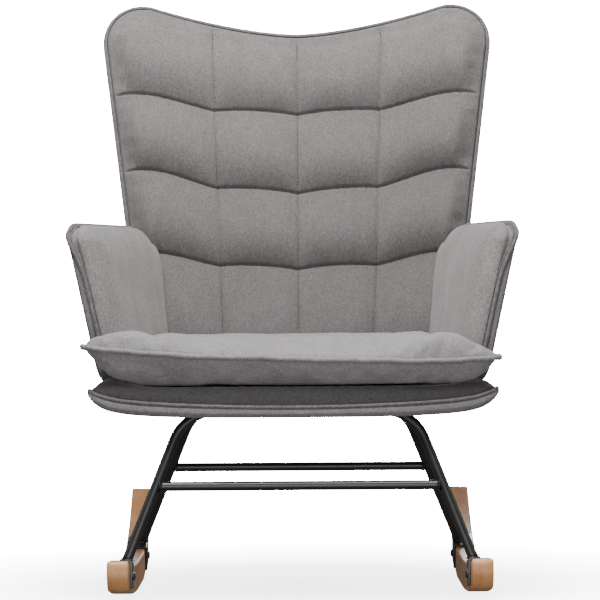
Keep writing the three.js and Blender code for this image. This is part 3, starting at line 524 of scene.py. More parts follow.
def rocker_side_line():
    """Closed outline in y and z, with tighter upper and fuller lower end corners."""
    def end(end_y, way, low_radius, high_radius):
        t = np.linspace(0, pi / 2, END_STEPS)
        low_y = end_y - way * low_radius * (1 - np.sin(t))
        high_y = end_y - way * high_radius * (1 - np.cos(t))
        low_z = sole(low_y) + low_radius * (1 - np.cos(t))
        high_z = sole(high_y) + ROCKER_THICKNESS - high_radius * (1 - np.sin(t))
        return np.concatenate([xyz(low_y, low_z), xyz(high_y, high_z)])

    below = np.linspace(FRONT_LOW, ROCKER_LENGTH - REAR_LOW, SIDE_STEPS)[1:-1]
    above = np.linspace(ROCKER_LENGTH - REAR_HIGH, FRONT_HIGH, SIDE_STEPS)[1:-1]
    rear, front = end(ROCKER_LENGTH, 1, REAR_LOW, REAR_HIGH), end(0, -1, FRONT_LOW, FRONT_HIGH)
    return np.concatenate([xyz(below, sole(below)), rear, xyz(above, sole(above) + ROCKER_THICKNESS),
                           front[::-1]])


def build_rocker(tag, side):
    line = rocker_side_line()
    count = len(line)
    tangent = np.roll(line, -1, 0) - np.roll(line, 1, 0)
    tangent /= np.linalg.norm(tangent, axis=1)[:, None]
    outward = np.stack([tangent[:, 1], -tangent[:, 0]], -1)
    rings = []
    last = EDGE_STEPS - 1
    for way, k in [(-1, k) for k in range(EDGE_STEPS)] + [(1, k) for k in range(last, -1, -1)]:
        t = k / last * pi / 2
        inset = ROCKER_EDGE * (1 - sin(t))
        x = way * (ROCKER_WIDTH / 2 - ROCKER_EDGE * (1 - cos(t)))
        spot = line - outward * inset
        rings.append(xyz(side * ROCKER_X + x, *spot.T))
    faces = ring_faces(len(rings), count) + caps(len(rings), count)
    obj = mesh_object(f"rocker_wood_{tag}", np.concatenate(rings), faces)
    obj.data.set_sharp_from_angle(angle=radians(50))
    return dress(obj, "beech", f"rocker_{tag}")


# --- tube base ---

TUBE, BAR = 8.0, 7.5
TUBE_SIDES = 32
FOOT_X, LEAN, BEND, HOOP_TOP = 268, radians(20.5), 75, 295.5
# for each hoop: y of its feet, y of its top, height of its crossbar
HOOPS = {"front": (70, 140, 179), "rear": (520, 410, 189)}
# a bracket's plate thickness and half length, and the gap between pieces that touch
PLATE, REACH, TOUCH = 3.0, 29, 0.3
FOOT_GAP = 0.2
BAR_BITE, BAR_FLARE, FLARE_LENGTH = 2.2, 2.6, 6.0  # the crossbars' welded ends


def bracket_seat(y):
    slope = sole_slope(y)
    along = np.arange(-REACH, REACH + 0.1, 2)
    top = sole(y + along * cos(slope)) + ROCKER_THICKNESS - along * sin(slope)
    return slope, float(top.max()) + TOUCH


def hoop_frame(foot_y, top_y):
    slope, seat = bracket_seat(foot_y)
    foot_z = seat + (PLATE + 2 * TOUCH) / cos(slope)
    rise, run = HOOP_TOP - foot_z, top_y - foot_y
    return foot_z, hypot(rise, run), atan2(-run, rise)


def hoop_line(height):
    """Centre line of a hoop in its own plane, as (x, height) from the left foot to the right."""
    turn = pi / 2 - LEAN
    bend_z = height - BEND * (1 - cos(turn))
    bend_x = FOOT_X - bend_z * tan(LEAN)
    centre_x, centre_z = bend_x - BEND * sin(turn), height - BEND
    half = [(lerp(FOOT_X, bend_x, t), lerp(0, bend_z, t)) for t in np.linspace(0, 1, 30)[:-1]]
    half += [(centre_x + BEND * sin(turn * t), centre_z + BEND * cos(turn * t)) for t in np.linspace(1, 0, 24)]
    half += [(x, height) for x in np.linspace(centre_x, 0, 10)[1:]]
    left = [(-x, z) for x, z in half]
    return np.array(left + half[::-1][1:])


def tilt_points(points, foot_y, foot_z, tilt):
    """From a hoop's own plane to the chair: turned about x at its feet."""
    x, y, z = points.T
    c, s = cos(tilt), sin(tilt)
    return xyz(x, foot_y + y * c - z * s, foot_z + y * s + z * c)


def build_hoop(tag):
    foot_y, top_y, bar_z = HOOPS[tag]
    foot_z, height, tilt = hoop_frame(foot_y, top_y)
    line = hoop_line(height)
    path = xyz(line[:, 0], 0, line[:, 1])
    world = tilt_points(path, foot_y, foot_z, tilt)
    normal = tilt_points(np.array([[0, 1, 0]]), 0, 0, tilt)[0]
    hoop = sweep(f"{tag}_hoop_tube", world, TUBE, sides=TUBE_SIDES, up=normal)
    # the tube's first and last ring are slid along the legs until they lie flat on the brackets
    slope = sole_slope(foot_y)
    plate_normal = Vector((0, -sin(slope), cos(slope)))
    ends = list(hoop.data.vertices[:TUBE_SIDES]) + list(hoop.data.vertices[-TUBE_SIDES:])
    for vertex in ends:
        sign = copysign(1, vertex.co.x)
        foot = Vector(place([[sign * FOOT_X, foot_y, foot_z + FOOT_GAP]])[0])
        leg = Vector((-sign * sin(LEAN), -cos(LEAN) * sin(tilt),
                      cos(LEAN) * cos(tilt)))
        vertex.co -= leg * ((vertex.co - foot).dot(plate_normal) / leg.dot(plate_normal))
    dress(hoop, "black_steel", f"{tag}_hoop")
    level = (bar_z - foot_z) * height / (HOOP_TOP - foot_z)
    leg_x = FOOT_X - level * tan(LEAN)
    reach = leg_x - TUBE / cos(LEAN) + BAR_BITE
    near_end = 1.5 * FLARE_LENGTH
    tip = np.linspace(reach - near_end, reach, 12)
    middle = np.linspace(near_end - reach, reach - near_end, 24)[1:-1]
    xs = np.concatenate([-tip[::-1], middle, tip])
    near = np.clip((reach - np.abs(xs)) / FLARE_LENGTH, 0, 1)
    radii = BAR + BAR_FLARE * (1 - near) ** 2
    bar = tilt_points(xyz(xs, 0, level), foot_y, foot_z, tilt)
    crossbar = sweep(f"{tag}_crossbar_tube", bar, radii, sides=TUBE_SIDES, up=normal)
    dress(crossbar, "black_steel", f"{tag}_crossbar")
    beads = [weld_ring(sign * FOOT_X, foot_y, foot_z, slope, sign, tilt) for sign in (-1, 1)]
    dress(join_into(f"{tag}_foot_welds", beads), "black_steel")


def weld_ring(x, y, z, slope, sign, tilt):
    """A lumpy weld bead round a leg's foot, lying on the bracket."""
    points_round, out, height, thickness = 72, TUBE + 0.7, 0.9, 1.55
    angle = np.arange(points_round) * 2 * pi / points_round
    across = out / cos(LEAN) * np.cos(angle)
    along = out / cos(tilt - slope) * np.sin(angle)
    c, s = cos(slope), sin(slope)
    ring = xyz(x + across, y + along * c - s * height, z + along * s + c * height)
    lumps = thickness + 0.28 * np.sin(angle * 19) + 0.12 * np.sin(angle * 7 + sign)
    return sweep(f"bead_{sign}", ring, lumps, sides=10, closed=True)


BOLT_DROP = 20  # from the bracket's plate down to its bolt
# (radius, distance outward from the bracket's face)
BUTTON = [(0, 2.0), (1.9, 2.0), (1.95, 3.45), (3.1, 3.6), (4.6, 3.2), (5.7, 2.4), (6.3, 1.2), (6.5, 0.1),
          (6.5, 0), (3, 0), (3, -23.6), (0, -24)]
WASHER = [(3.4, 0.02), (8.4, 0.02), (8.8, 0.15), (8.8, 0.2), (8.4, 0.29), (3.4, 0.29)]


def build_bracket(tag):
    end, side_tag = tag.split("_")
    side = -1 if side_tag == "left" else 1
    obj = cad_copy(f"rocker_bracket_{tag}", f"rocker_plate_{tag}")
    finish_edges(obj, 1.0)
    dress(obj, "black_steel", f"rocker_bracket_{tag}")
    y = HOOPS[end][0]
    slope, z = bracket_seat(y)
    face_x = side * (ROCKER_X - ROCKER_WIDTH / 2 - 2 * TOUCH - PLATE)
    centre = np.array([face_x, y + BOLT_DROP * sin(slope), z - BOLT_DROP])
    head = lathe(f"rocker_button_{tag}", centre, -side, BUTTON, hexagon=2)
    dress(head, "black_bolt", f"rocker_bolt_{tag}")
    disc = lathe(f"rocker_washer_{tag}", centre, -side, WASHER, looped=True)
    dress(disc, "zinc_steel")


def lathe(name, centre, way, profile, sides=48, hexagon=0, looped=False):
    """Turned about the x axis; profile is (radius, distance outward). The first `hexagon`
    radii after the centre follow a hexagon, for a socket. A looped profile has a hole."""
    angle = np.arange(sides) * 2 * pi / sides
    six_sided = cos(pi / 6) / np.cos(angle % (pi / 3) - pi / 6) * 1.08
    rows = []
    for i, (radius, out) in enumerate(profile):
        r = radius * (six_sided if 0 < i <= hexagon else 1)
        rows.append(centre + xyz(way * out, r * np.cos(angle), r * np.sin(angle)))
    obj = mesh_object(name, np.concatenate(rows), ring_faces(len(profile), sides, looped))
    obj.data.set_sharp_from_angle(angle=radians(32))
    return obj


for tag, side in (("left", -1), ("right", 1)):
    build_rocker(tag, side)
for tag in HOOPS:
    build_hoop(tag)
for tag in ("front_left", "front_right", "rear_left", "rear_right"):
    build_bracket(tag)


# --- seat base ---

SEAT_HALF_FRONT, SEAT_HALF_REAR, SEAT_FRONT, SEAT_REAR, SEAT_BOW, SEAT_CORNER = 324, 262, 66, 464, 46, 36
DECK_LEAN, DECK_FOOT = 9, 3.2  # how far the deck's upper and lower edge stand in from the seat's outline
REAR_TUCK, REAR_REACH = 10.5, 11
SEAT_SPAN = (300, 190)  # half the seat's width and depth, roughly


def seat_plan(u, v, inset):
    depth = SEAT_REAR - SEAT_FRONT
    a, b = round_corner(u, v, SEAT_CORNER / SEAT_HALF_FRONT, 2 * SEAT_CORNER / depth)
    front = SEAT_FRONT + SEAT_BOW * a * a + inset
    y = lerp(front, SEAT_REAR - inset, (b + 1) / 2)
    half = lerp(SEAT_HALF_FRONT, SEAT_HALF_REAR, (y - SEAT_FRONT) / depth)
    return a * (half - inset), y


def seat_lift(x, amount, power):
    return amount * np.minimum(np.abs(x) / SEAT_HALF_FRONT, 1) ** power


def seat_seam(x):
    return 302 + seat_lift(x, 14, 2) + seat_lift(x, 20, 12)


def seat_under(x):
    return 286 + seat_lift(x, 12, 4) + seat_lift(x, 34, 16)


def deck_top(x):
    return 333 + seat_lift(x, 4, 6)


def rim_distance(u, v, width, height):
    return np.minimum((1 - np.abs(u)) * width, (1 - np.abs(v)) * height)


def build_seat_base():
    def shape(u, v, z_share, inset):
        x, y = seat_plan(u, v, inset)
        puff = rise_in(rim_distance(u, v, *SEAT_SPAN), 40)
        pleat = 0.8 * wobble(11, x, z_share * 40, 34) * (1 - z_share) * z_share
        # it stands higher at its two front corners and beside the arms
        ears = smooth(np.abs(x), 215, 300) * (1 - smooth(y, 140, 172))
        sides = smooth(np.abs(x), 225, 262)
        lift = np.where(x < 0, 17, 12)
        # at the rear the deck is tucked up under the back
        tuck = smooth(y, 434, 452) * (1 - smooth(np.abs(x), 262, 280))
        high = deck_top(x) + 1.8 * sides + lift * ears * puff + REAR_TUCK * tuck
        z = lerp(seat_seam(x) + 0.4, high, z_share)
        return xyz(x, y + pleat + REAR_REACH * tuck * z_share, z)

    def top(u, v):
        return 1 - 0.14 * (1 - quarter(rim_distance(u, v, *SEAT_SPAN), 7)), DECK_LEAN

    def rim(t, u, v):
        roll = 1.6 * sin(pi * t)
        return 0.86 * (1 - t), lerp(DECK_LEAN, DECK_FOOT, t ** 0.8) - roll

    deck = slab("seat_deck_cloth", shape, (220, 60), 12, top, flat(0, DECK_FOOT), rim)
    # the deck takes the darker velvet, painted shade under the cushion's overhang
    dress(deck, "velvet", "seat_deck", finish=M_DECK_PAINTED_SHADE)

    def ring_shape(u, t):
        """u runs 0..1 round the seat; t runs 0..1 round the band's section."""
        edge_u, edge_v = square_edge(u)
        # outer roll, underside, inner return
        stations = [0, 0.1, 0.22, 0.38, 0.52, 0.6, 0.9, 1.0]
        over = np.interp(t, stations, [6, 1.4, -2.6, -3.4, -0.6, 4, 33, 33])
        rise = np.interp(t, stations, [1, 0.97, 0.78, 0.4, 0.08, 0, 0, 1])
        x, y = seat_plan(edge_u, edge_v, over)
        z = lerp(seat_under(x), seat_seam(x) - 0.4, rise)
        return xyz(x, y, z)

    def smoothed(column):
        return np.convolve(np.r_[column[-2:], column, column[:2]], np.ones(5) / 5, "valid")

    rounds, around = 640, 64
    ring_u = np.arange(rounds) / rounds + REAR_START
    t, u = np.meshgrid(np.linspace(0, 1, around, endpoint=False), ring_u, indexing="ij")
    points = ring_shape(u, t)
    soft = np.stack([np.apply_along_axis(smoothed, 0, points[..., k]) for k in range(3)], -1)
    band = mesh_object("seat_band_cloth", soft.reshape(-1, 3), ring_faces(around, rounds, True))
    dress(band, "velvet", "seat_band", finish=M_BASE)

    share = np.arange(900) / 900
    eu, ev = square_edge(share + REAR_START)
    x, y = seat_plan(eu, ev, -0.6)
    z = seat_seam(x) + 0.2 + 0.25 * np.sin(share * 390)
    line = soften(xyz(x, y, z), 9)
    welt = sweep("seat_welt_cord", line, 3.0, sides=14, closed=True)
    dress(welt, "piping", "seat_welt")


REAR_START = 0.625  # the share of the way round at which a cord's join lies out of sight, at the rear


def square_edge(share):
    """(u, v) on the edge of the -1..1 square, share 0..1 once round from its front left corner."""
    step = (np.asarray(share, float) * 4) % 4
    along = (step % 1) * 2 - 1
    one = np.ones_like(along)
    sides = [np.floor(step).astype(int) == k for k in range(4)]
    return np.select(sides, [along, one, -along, -one]), np.select(sides, [-one, along, one, -along])


def soften(line, width, closed=True):
    """A moving average along a line, so that a cord turns smoothly."""
    kernel = np.ones(width) / width
    half = width // 2
    if closed:
        padded = np.concatenate([line[-half:], line, line[:half]])
    else:
        padded = np.concatenate([np.repeat(line[:1], half, 0), line, np.repeat(line[-1:], half, 0)])
    return np.stack([np.convolve(padded[:, k], kernel, "valid") for k in range(3)], -1)


build_seat_base()


# --- arms ---

ARM_BOTTOM, ARM_TOP, ARM_FRONT, ARM_REAR, ARM_THICK = 338, 593, 176, 444, 52
ARM_HALF = (134, 125)  # half the arm's length and height
CORNER_WRAP = 9
NOSE, NOSE_REACH = 25.0, 58.0  # how deep the front and the top are rounded, and over what width
PAD_INSET, PAD_OUTER_INSET, PAD_OUTER_DEPTH = 3.0, 7.2, 37.2
SHELL_DEPTH, SHELL_SIDE, SHELL_FACE = 38.6, 44, 51.6


def arm_rear(z):
    return ARM_REAR + (z - ARM_BOTTOM) * tan(RECLINE)


def arm_mid_x(y, z):
    share = (ARM_REAR - y) / (ARM_REAR - ARM_FRONT)
    return lerp(230, 277, share) + lerp(0.146, 0.215, share) * (z - ARM_BOTTOM)


def arm_plan(u, v, inset):
    corner = np.where(v < 0, np.where(u < 0, 30.0, 6.0), np.where(u < 0, 34.0, 80.0))
    radius = np.maximum(corner - inset, 4)
    tall, long = ARM_TOP - ARM_BOTTOM, ARM_REAR - ARM_FRONT
    a, b = round_corner(u, v, 2 * radius / long, 2 * radius / tall)
    z = lerp(ARM_BOTTOM - 0.6 + np.minimum(inset, 2) * 0.2, ARM_TOP - inset, (b + 1) / 2)
    y = lerp(ARM_FRONT + inset, arm_rear(z) - inset, (a + 1) / 2)
    return y, z


def nose_corner(u, v):
    """How far out the inner cloth wraps over to the outside, near the arm's top front corner."""
    back, down = (1 + u) * ARM_HALF[0], (1 - v) * ARM_HALF[1]
    return CORNER_WRAP * (1.4 * np.exp(-(back / 56) ** 2 - ((down - 18) / 40) ** 2))


def build_arm(tag, side):
    def shape(u, v, depth, inset):
        y, z = arm_plan(u, v, inset)
        return xyz(side * (arm_mid_x(y, z) - ARM_THICK / 2 + depth), y, z)

    length, height = ARM_HALF

    def rim_gap(u, v):
        # only the front and the top are bullnosed; the rear and the bottom are tucked in
        front, rear = (1 + u) * length, (1 - u) * length
        top, foot = (1 - v) * height, (1 + v) * height
        return np.minimum(np.minimum(front, top), np.minimum(rear * 2.6, foot * 3.2))

    def inner(u, v):
        d = rim_gap(u, v)
        puff = 2.2 * (1 - u ** 2) * (1 - v ** 2)
        fold = 0.7 * wobble(21, u * length, v * height, 90) + 0.25 * wobble(22, u * length, v * 30, 26)
        depth = 3.2 - puff + NOSE * (1 - quarter(d, NOSE_REACH)) ** 1.15 + fold * smooth(d, 4, 30)
        return depth, PAD_INSET

    def rim(t, u, v):
        depth = lerp(3.2 + NOSE, PAD_OUTER_DEPTH, t)
        inset = lerp(PAD_INSET, PAD_OUTER_INSET, float(smooth(depth, 29.2, 32.2)))
        return depth + t * nose_corner(u, v), inset

    def outer(u, v):
        return PAD_OUTER_DEPTH + nose_corner(u, v), PAD_OUTER_INSET

    pad = slab(f"arm_pad_cloth_{tag}", shape, (150, 150), 10, inner, outer, rim, dense=(0.75, 0.75))
    dress(pad, "velvet", f"arm_pad_{tag}", finish=M_ARM)

    def shell_front(u, v):
        return SHELL_DEPTH + nose_corner(u, v), 2.4

    def shell_rim(t, u, v):
        wrap = nose_corner(u, v)
        return lerp(SHELL_DEPTH + wrap, SHELL_SIDE + 0.5 * wrap, t), 1.6 + 0.9 * (1 - t) + 0.35 * wrap

    def shell_back(u, v):
        d = rim_distance(u, v, *ARM_HALF)
        hollow = 0.6 * wobble(23, u * length, v * height, 120)
        wrap = nose_corner(u, v)
        side_depth = SHELL_SIDE + 0.5 * wrap
        crown = (SHELL_FACE - side_depth) * quarter(d, 13)
        return side_depth + crown + hollow * smooth(d, 5, 40) * 0.6, 1.6 + 0.35 * wrap

    shell = slab(f"arm_shell_cloth_{tag}", shape, (130, 130), 6, shell_front, shell_back, shell_rim,
                 dense=(0.7, 0.7))
    dress(shell, "velvet", f"arm_shell_{tag}", finish=M_SHELL)

    share = np.linspace(0.40, 0.995, 420)
    eu, ev = square_edge(share)
    cords = []
    for depth, inset, radius in ((35.2, 2.8, 3.4), (30.2, 4.8, 1.5)):
        y, z = arm_plan(eu, ev, inset)
        wrap = nose_corner(eu, ev)
        x = arm_mid_x(y, z) - ARM_THICK / 2 + depth + wrap + 0.2 * np.sin(share * 500)
        line = soften(xyz(side * x, y, z), 7, closed=False)
        cords.append(sweep(f"arm_cord_{depth}", line, radius, sides=14, up=(side, 0, 0.2)))
    welt = join_into(f"arm_welt_cord_{tag}", cords)
    dress(welt, "piping", f"arm_welt_{tag}")


build_arm("left", -1)
build_arm("right", 1)


# the boards inside follow their padding's unevenness
for tag in ("left", "right"):
    board = cad_copy(f"arm_board_{tag}", f"arm_board_panel_{tag}")
    for vertex in board.data.vertices:
        spot = np.array(vertex.co) * 1000 + np.array([0, Y_SHIFT, 0])
        vertex.co = place(sway([spot]))[0]
    dress(board, "plywood", f"arm_board_{tag}")


# --- back ---

BACK_BOTTOM, BACK_DIP, WING_RISE, WING_PEAK, BACK_FOOT_Y = 338, 929, 49, 0.78, 455
HALF_ARM, HALF_TOP, ARM_LEVEL, WIDE_Z = 291, 331, 588, 905
BACK_SPAN = (320, 310)  # half the back's width and height, roughly
PAD_EDGE, PAD_BASE, PAD_REAR = 8.0, 3, 11.8  # inset of the pad's edge; depth of its front edge and rear
COVER_EDGE, COVER_FRONT, COVER_SIDE, COVER_CROWN = 2.2, 13.6, 44, 13.2
EDGE_CROWN, QUILT_SWELL = 5.4, 21
# each seam across the back: its height at the middle, its rise to the upright seam, its rise beyond
ROWS = ((0.302, 7.0, 22.5), (0.527, 10.0, 32.0), (0.7635, 7.5, 29.5))
BACK_TALL = BACK_DIP - BACK_BOTTOM


def back_ab(u, v, inset):
    corner = np.maximum(np.where(v > 0, 68, 30) - inset, 8)
    tall = BACK_DIP + WING_RISE - BACK_BOTTOM
    return round_corner(u, v, corner / HALF_TOP, 2 * corner / tall)


def wing(a):
    return np.minimum(np.abs(a) / WING_PEAK, 1) ** 1.6


def back_spot(a, b, behind, inset):
    up = (b + 1) / 2
    rise = WING_RISE * wing(a) * np.sqrt(up)
    z = lerp(BACK_BOTTOM + inset, BACK_DIP - inset, up) + rise
    half = lerp(HALF_ARM, HALF_TOP, np.minimum((z - ARM_LEVEL) / (WIDE_Z - ARM_LEVEL), 1))
    x = a * (half - inset)
    forward = 46 * (x / HALF_TOP) ** 2
    y = BACK_FOOT_Y + (z - BACK_BOTTOM) * tan(RECLINE) - forward * up + behind * cos(RECLINE)
    return xyz(x, y, z - behind * sin(RECLINE))


def back_shape(u, v, behind, inset):
    a, b = back_ab(u, v, inset)
    return back_spot(a, b, behind, inset)


def seam_share(up):
    """Where the outer upright seams stand, as a share of the half width, up being 0 to 1."""
    return 0.49 - 0.045 * up


def quilt(a, b):
    """How far the quilted front swells above its base, and how deep its seams are drawn in, in mm."""
    up = (b + 1) / 2
    split = seam_share(up)
    size = np.abs(a)
    outer = size > split
    across = np.where(outer, (size - split) / (1 - split), size / split)
    bulge = np.where(outer, 0, 4.0) * 4 * across * (1 - across)
    inner_share = np.where(outer, 1, across)
    outer_share = np.where(outer, np.sin(pi / 2 * (across / 0.78) ** 1.25), 0)
    seams = []
    for low, near, far in ROWS:
        rise = near * inner_share + far * outer_share + bulge
        seams.append(low + (rise - WING_RISE * sqrt(low) * wing(a)) / BACK_TALL)
    edges = [-0.02, *seams, 1.012]
    height = trench = crease = 0
    for low, high in zip(edges[:-1], edges[1:]):
        q = np.clip((high - up) / (high - low), 0, 1)
        cell = np.sin(pi * q ** 1.45) ** 0.85
        height = np.where((up >= low) & (up < high), cell, height)
    gather = wobble(5, a * 330, 0 * a, 17) * 0.55 + wobble(6, a * 330, up * 90, 9) * 0.35
    for seam in seams:
        gap = (up - seam) * BACK_TALL
        trench = trench + 3.6 * ridge(gap, 2.0) - gather * np.exp(-np.abs(gap) / 13)
    swell = 0.7 + 0.3 * (1 - np.abs(2 * across - 1) ** 4)
    for seam, depth in ((split, 2.1), (0, 1.9)):
        gap = (np.abs(a) - seam) * 320
        crease = crease + depth * ridge(gap, 2.8) + 1.5 * ridge(gap, 18)
    return QUILT_SWELL * height * swell, trench + crease


STITCH_PITCH, STITCH_HALF = 0.0092, 0.0026  # as shares of the back's height
# inset, depth, radius, height and number of ripples, sides
BACK_CORDS = ((2.8, 8.6, 3.5, 0.25, 620, 14), (4.6, 5.0, 1.1, 0.2, 480, 10))


def build_back():
    def front(u, v):
        a, b = back_ab(u, v, PAD_EDGE)
        d = rim_distance(u, v, *BACK_SPAN)
        full = smooth(d, 0, 38)
        swell, drawn = quilt(a, b)
        edge_wrinkle = 0.9 * wobble(31, v * 300, u * 40, 36) * ridge(d - 16, 14)
        slack = 0.8 * wobble(32, u * BACK_SPAN[0], v * BACK_SPAN[1], 130) * full
        rise = EDGE_CROWN * quarter(d, 20) + swell * full - drawn * smooth(d, 0, 12) + slack + edge_wrinkle
        return PAD_BASE - rise, PAD_EDGE

    def rim(t, u, v):
        return lerp(PAD_BASE, PAD_REAR, t), PAD_EDGE - 0.6 * sin(pi * t)

    pad = slab("back_pad_cloth", back_shape, (380, 480), 6, front, flat(PAD_REAR, PAD_EDGE), rim,
               dense=(0.25, 0.1))
    dress(pad, "velvet", "back_pad")

    # stitches along the upright seams
    stitches = []
    for line_side in (-1, 0, 1):
        for k, up in enumerate(np.arange(0.10, 0.975, STITCH_PITCH)):
            ends = np.array([up - STITCH_HALF, up, up + STITCH_HALF])
            b = ends * 2 - 1
            a = line_side * seam_share(ends)
            swell, drawn = quilt(a, b)
            depth = PAD_BASE - (EDGE_CROWN + swell - drawn) - np.array([0.15, 0.5, 0.15])
            spots = back_spot(a, b, depth, 7)
            stitches.append(sweep(f"stitch_{k}", spots, [0.4, 0.75, 0.4], sides=6, up=(0, 1, 0)))
    thread = join_into("back_stitches", stitches)
    dress(thread, "velvet", finish=M_THREAD)

    def cover_rim(t, u, v):
        return lerp(COVER_FRONT, COVER_SIDE, t), COVER_EDGE - 1.4 * sin(pi * t)

    def cover_rear(u, v):
        d = rim_distance(u, v, *BACK_SPAN)
        x, z = u * BACK_SPAN[0], v * BACK_SPAN[1]
        seam = 1.6 * ridge(d - 26, 1.6) - 0.9 * ridge(d - 20, 4)
        slack = 0.9 * wobble(41, x, z, 170)
        pucker = 0.4 * wobble(42, x, z, 16) * ridge(d - 30, 10)
        depth = COVER_SIDE + COVER_CROWN * quarter(d, 15) - seam + (slack + pucker) * smooth(d, 8, 60)
        return depth, COVER_EDGE

    cover = slab("back_cover_cloth", back_shape, (240, 240), 10, flat(COVER_FRONT, COVER_EDGE), cover_rear,
                 cover_rim, dense=(0.7, 0.7))
    dress(cover, "velvet", "back_cover", finish=M_SHELL)

    # the piping runs up one side, over the top and down the other
    share = np.linspace(0.255, 0.995, 900)
    eu, ev = square_edge(share)
    cords = []
    for inset, depth, radius, ripple, waves, sides in BACK_CORDS:
        a, b = back_ab(eu, ev, inset)
        line = back_spot(a, b, depth + ripple * np.sin(share * waves), inset)
        cords.append(sweep(f"back_cord_{radius}", soften(line, 9, closed=False), radius, sides=sides))
    welt = join_into("back_welt_cord", cords)
    dress(welt, "piping", "back_welt")


build_back()


# --- loose cushion ---

C_HALF, C_FRONT, C_BOW, EAR_END, SHOULDER, C_REAR, C_CORNER = 319, 62, 44, 126, 32, 432, 40
C_SPAN = (300, 185)  # half the cushion's width and depth, roughly
ARM_GAP = 2 * 3 + 1.5 + 6.4  # from each arm: piping, clearance and the arm's swell
DECK_CLEAR = 335.2  # the cushion's underside stays above this height


def cushion_half(y):
    between = lerp(277, 230, (y - ARM_FRONT) / (ARM_REAR - ARM_FRONT)) - ARM_THICK / 2 - ARM_GAP
    return lerp(C_HALF, between, smooth(y, EAR_END, EAR_END + SHOULDER))


def cushion_plan(u, v, outset):
    depth = C_REAR - C_FRONT
    a, b = round_corner(u, v, C_CORNER / C_HALF, 2 * C_CORNER / depth)
    straight = lerp(C_FRONT, C_REAR, (b + 1) / 2)
    half = cushion_half(straight - outset) + outset
    bow = C_BOW * a * a * np.maximum(0, 1 - (b + 1) / (2 * (EAR_END - C_FRONT) / depth))
    x = a * half
    # the right ear is a little shorter than the left one
    return a, b, x - 6 * smooth(x, 150, 320) * (1 - smooth(straight, 120, 200)), straight + bow + outset * b


def cushion_seam(x):
    return 377 + 11 * (np.abs(x) / C_HALF) ** 4


def cushion_tip(x, y):
    """The loose cushion lies a little higher on its left."""
    return -(10 * x / 320 + 1.5 * smooth(x, 200, 320)) * (1 - smooth(y, 90, 230))


def cushion_under(x):
    t = np.minimum(np.abs(x) / C_HALF, 1)
    return 335.5 + 4.5 * t ** 2 + 33 * t ** 14


# metres: the farthest a point may move, the pinned width at the seam, the height below which all is pinned
SIM_FRAMES, SIM_CAP, SEAM_HOLD, PIN_BELOW = 20, 0.012, 0.011, 0.3375
CLOTH = {
    "quality": 5, "mass": 0.15, "tension_stiffness": 12, "compression_stiffness": 12, "shear_stiffness": 6,
    "bending_stiffness": 0.35, "use_pressure": True, "uniform_pressure_force": 4, "shrink_min": -0.035,
    "vertex_group_mass": "seam",
}


def simulate(obj, seam_line):
    """Blows the cushion up like stuffed cloth, its seam held in place and its cover a little loose."""
    start = np.array([v.co for v in obj.data.vertices])
    group = obj.vertex_groups.new(name="seam")
    for vertex in obj.data.vertices:
        to_seam = float(np.sqrt(((seam_line - np.array(vertex.co)) ** 2).sum(1).min()))
        weight = max(0.0, 1 - to_seam / SEAM_HOLD)
        if vertex.co.z < PIN_BELOW:
            weight = 1
        if weight > 0:
            group.add([vertex.index], min(1.0, weight * 1.6), "REPLACE")
    cloth = obj.modifiers.new("cloth", "CLOTH")
    for key, value in CLOTH.items():
        setattr(cloth.settings, key, value)
    cloth.settings.effector_weights.gravity = 0
    cloth.collision_settings.use_collision = False
    scene = bpy.context.scene
    for number in range(1, SIM_FRAMES + 1):
        scene.frame_set(number)
    graph = bpy.context.evaluated_depsgraph_get()
    blown = np.array([v.co for v in obj.evaluated_get(graph).data.vertices])
    obj.modifiers.clear()
    scene.frame_set(1)
    move = blown - start
    length = np.linalg.norm(move, axis=1)
    move *= (SIM_CAP * np.tanh(length / SIM_CAP) / np.maximum(length, 1e-9))[:, None]
    end = start + move
    end[:, 2] = np.maximum(end[:, 2], DECK_CLEAR / 1000)
    obj.data.vertices.foreach_set("co", end.astype(np.float32).ravel())
    obj.data.update()


def seam_points():
    """The cushion's seam in the frame's metres."""
    _, _, x, y = cushion_plan(*square_edge(np.arange(720) / 720), 0)
    return place(sway(xyz(x, y, cushion_seam(x) + cushion_tip(x, y))))


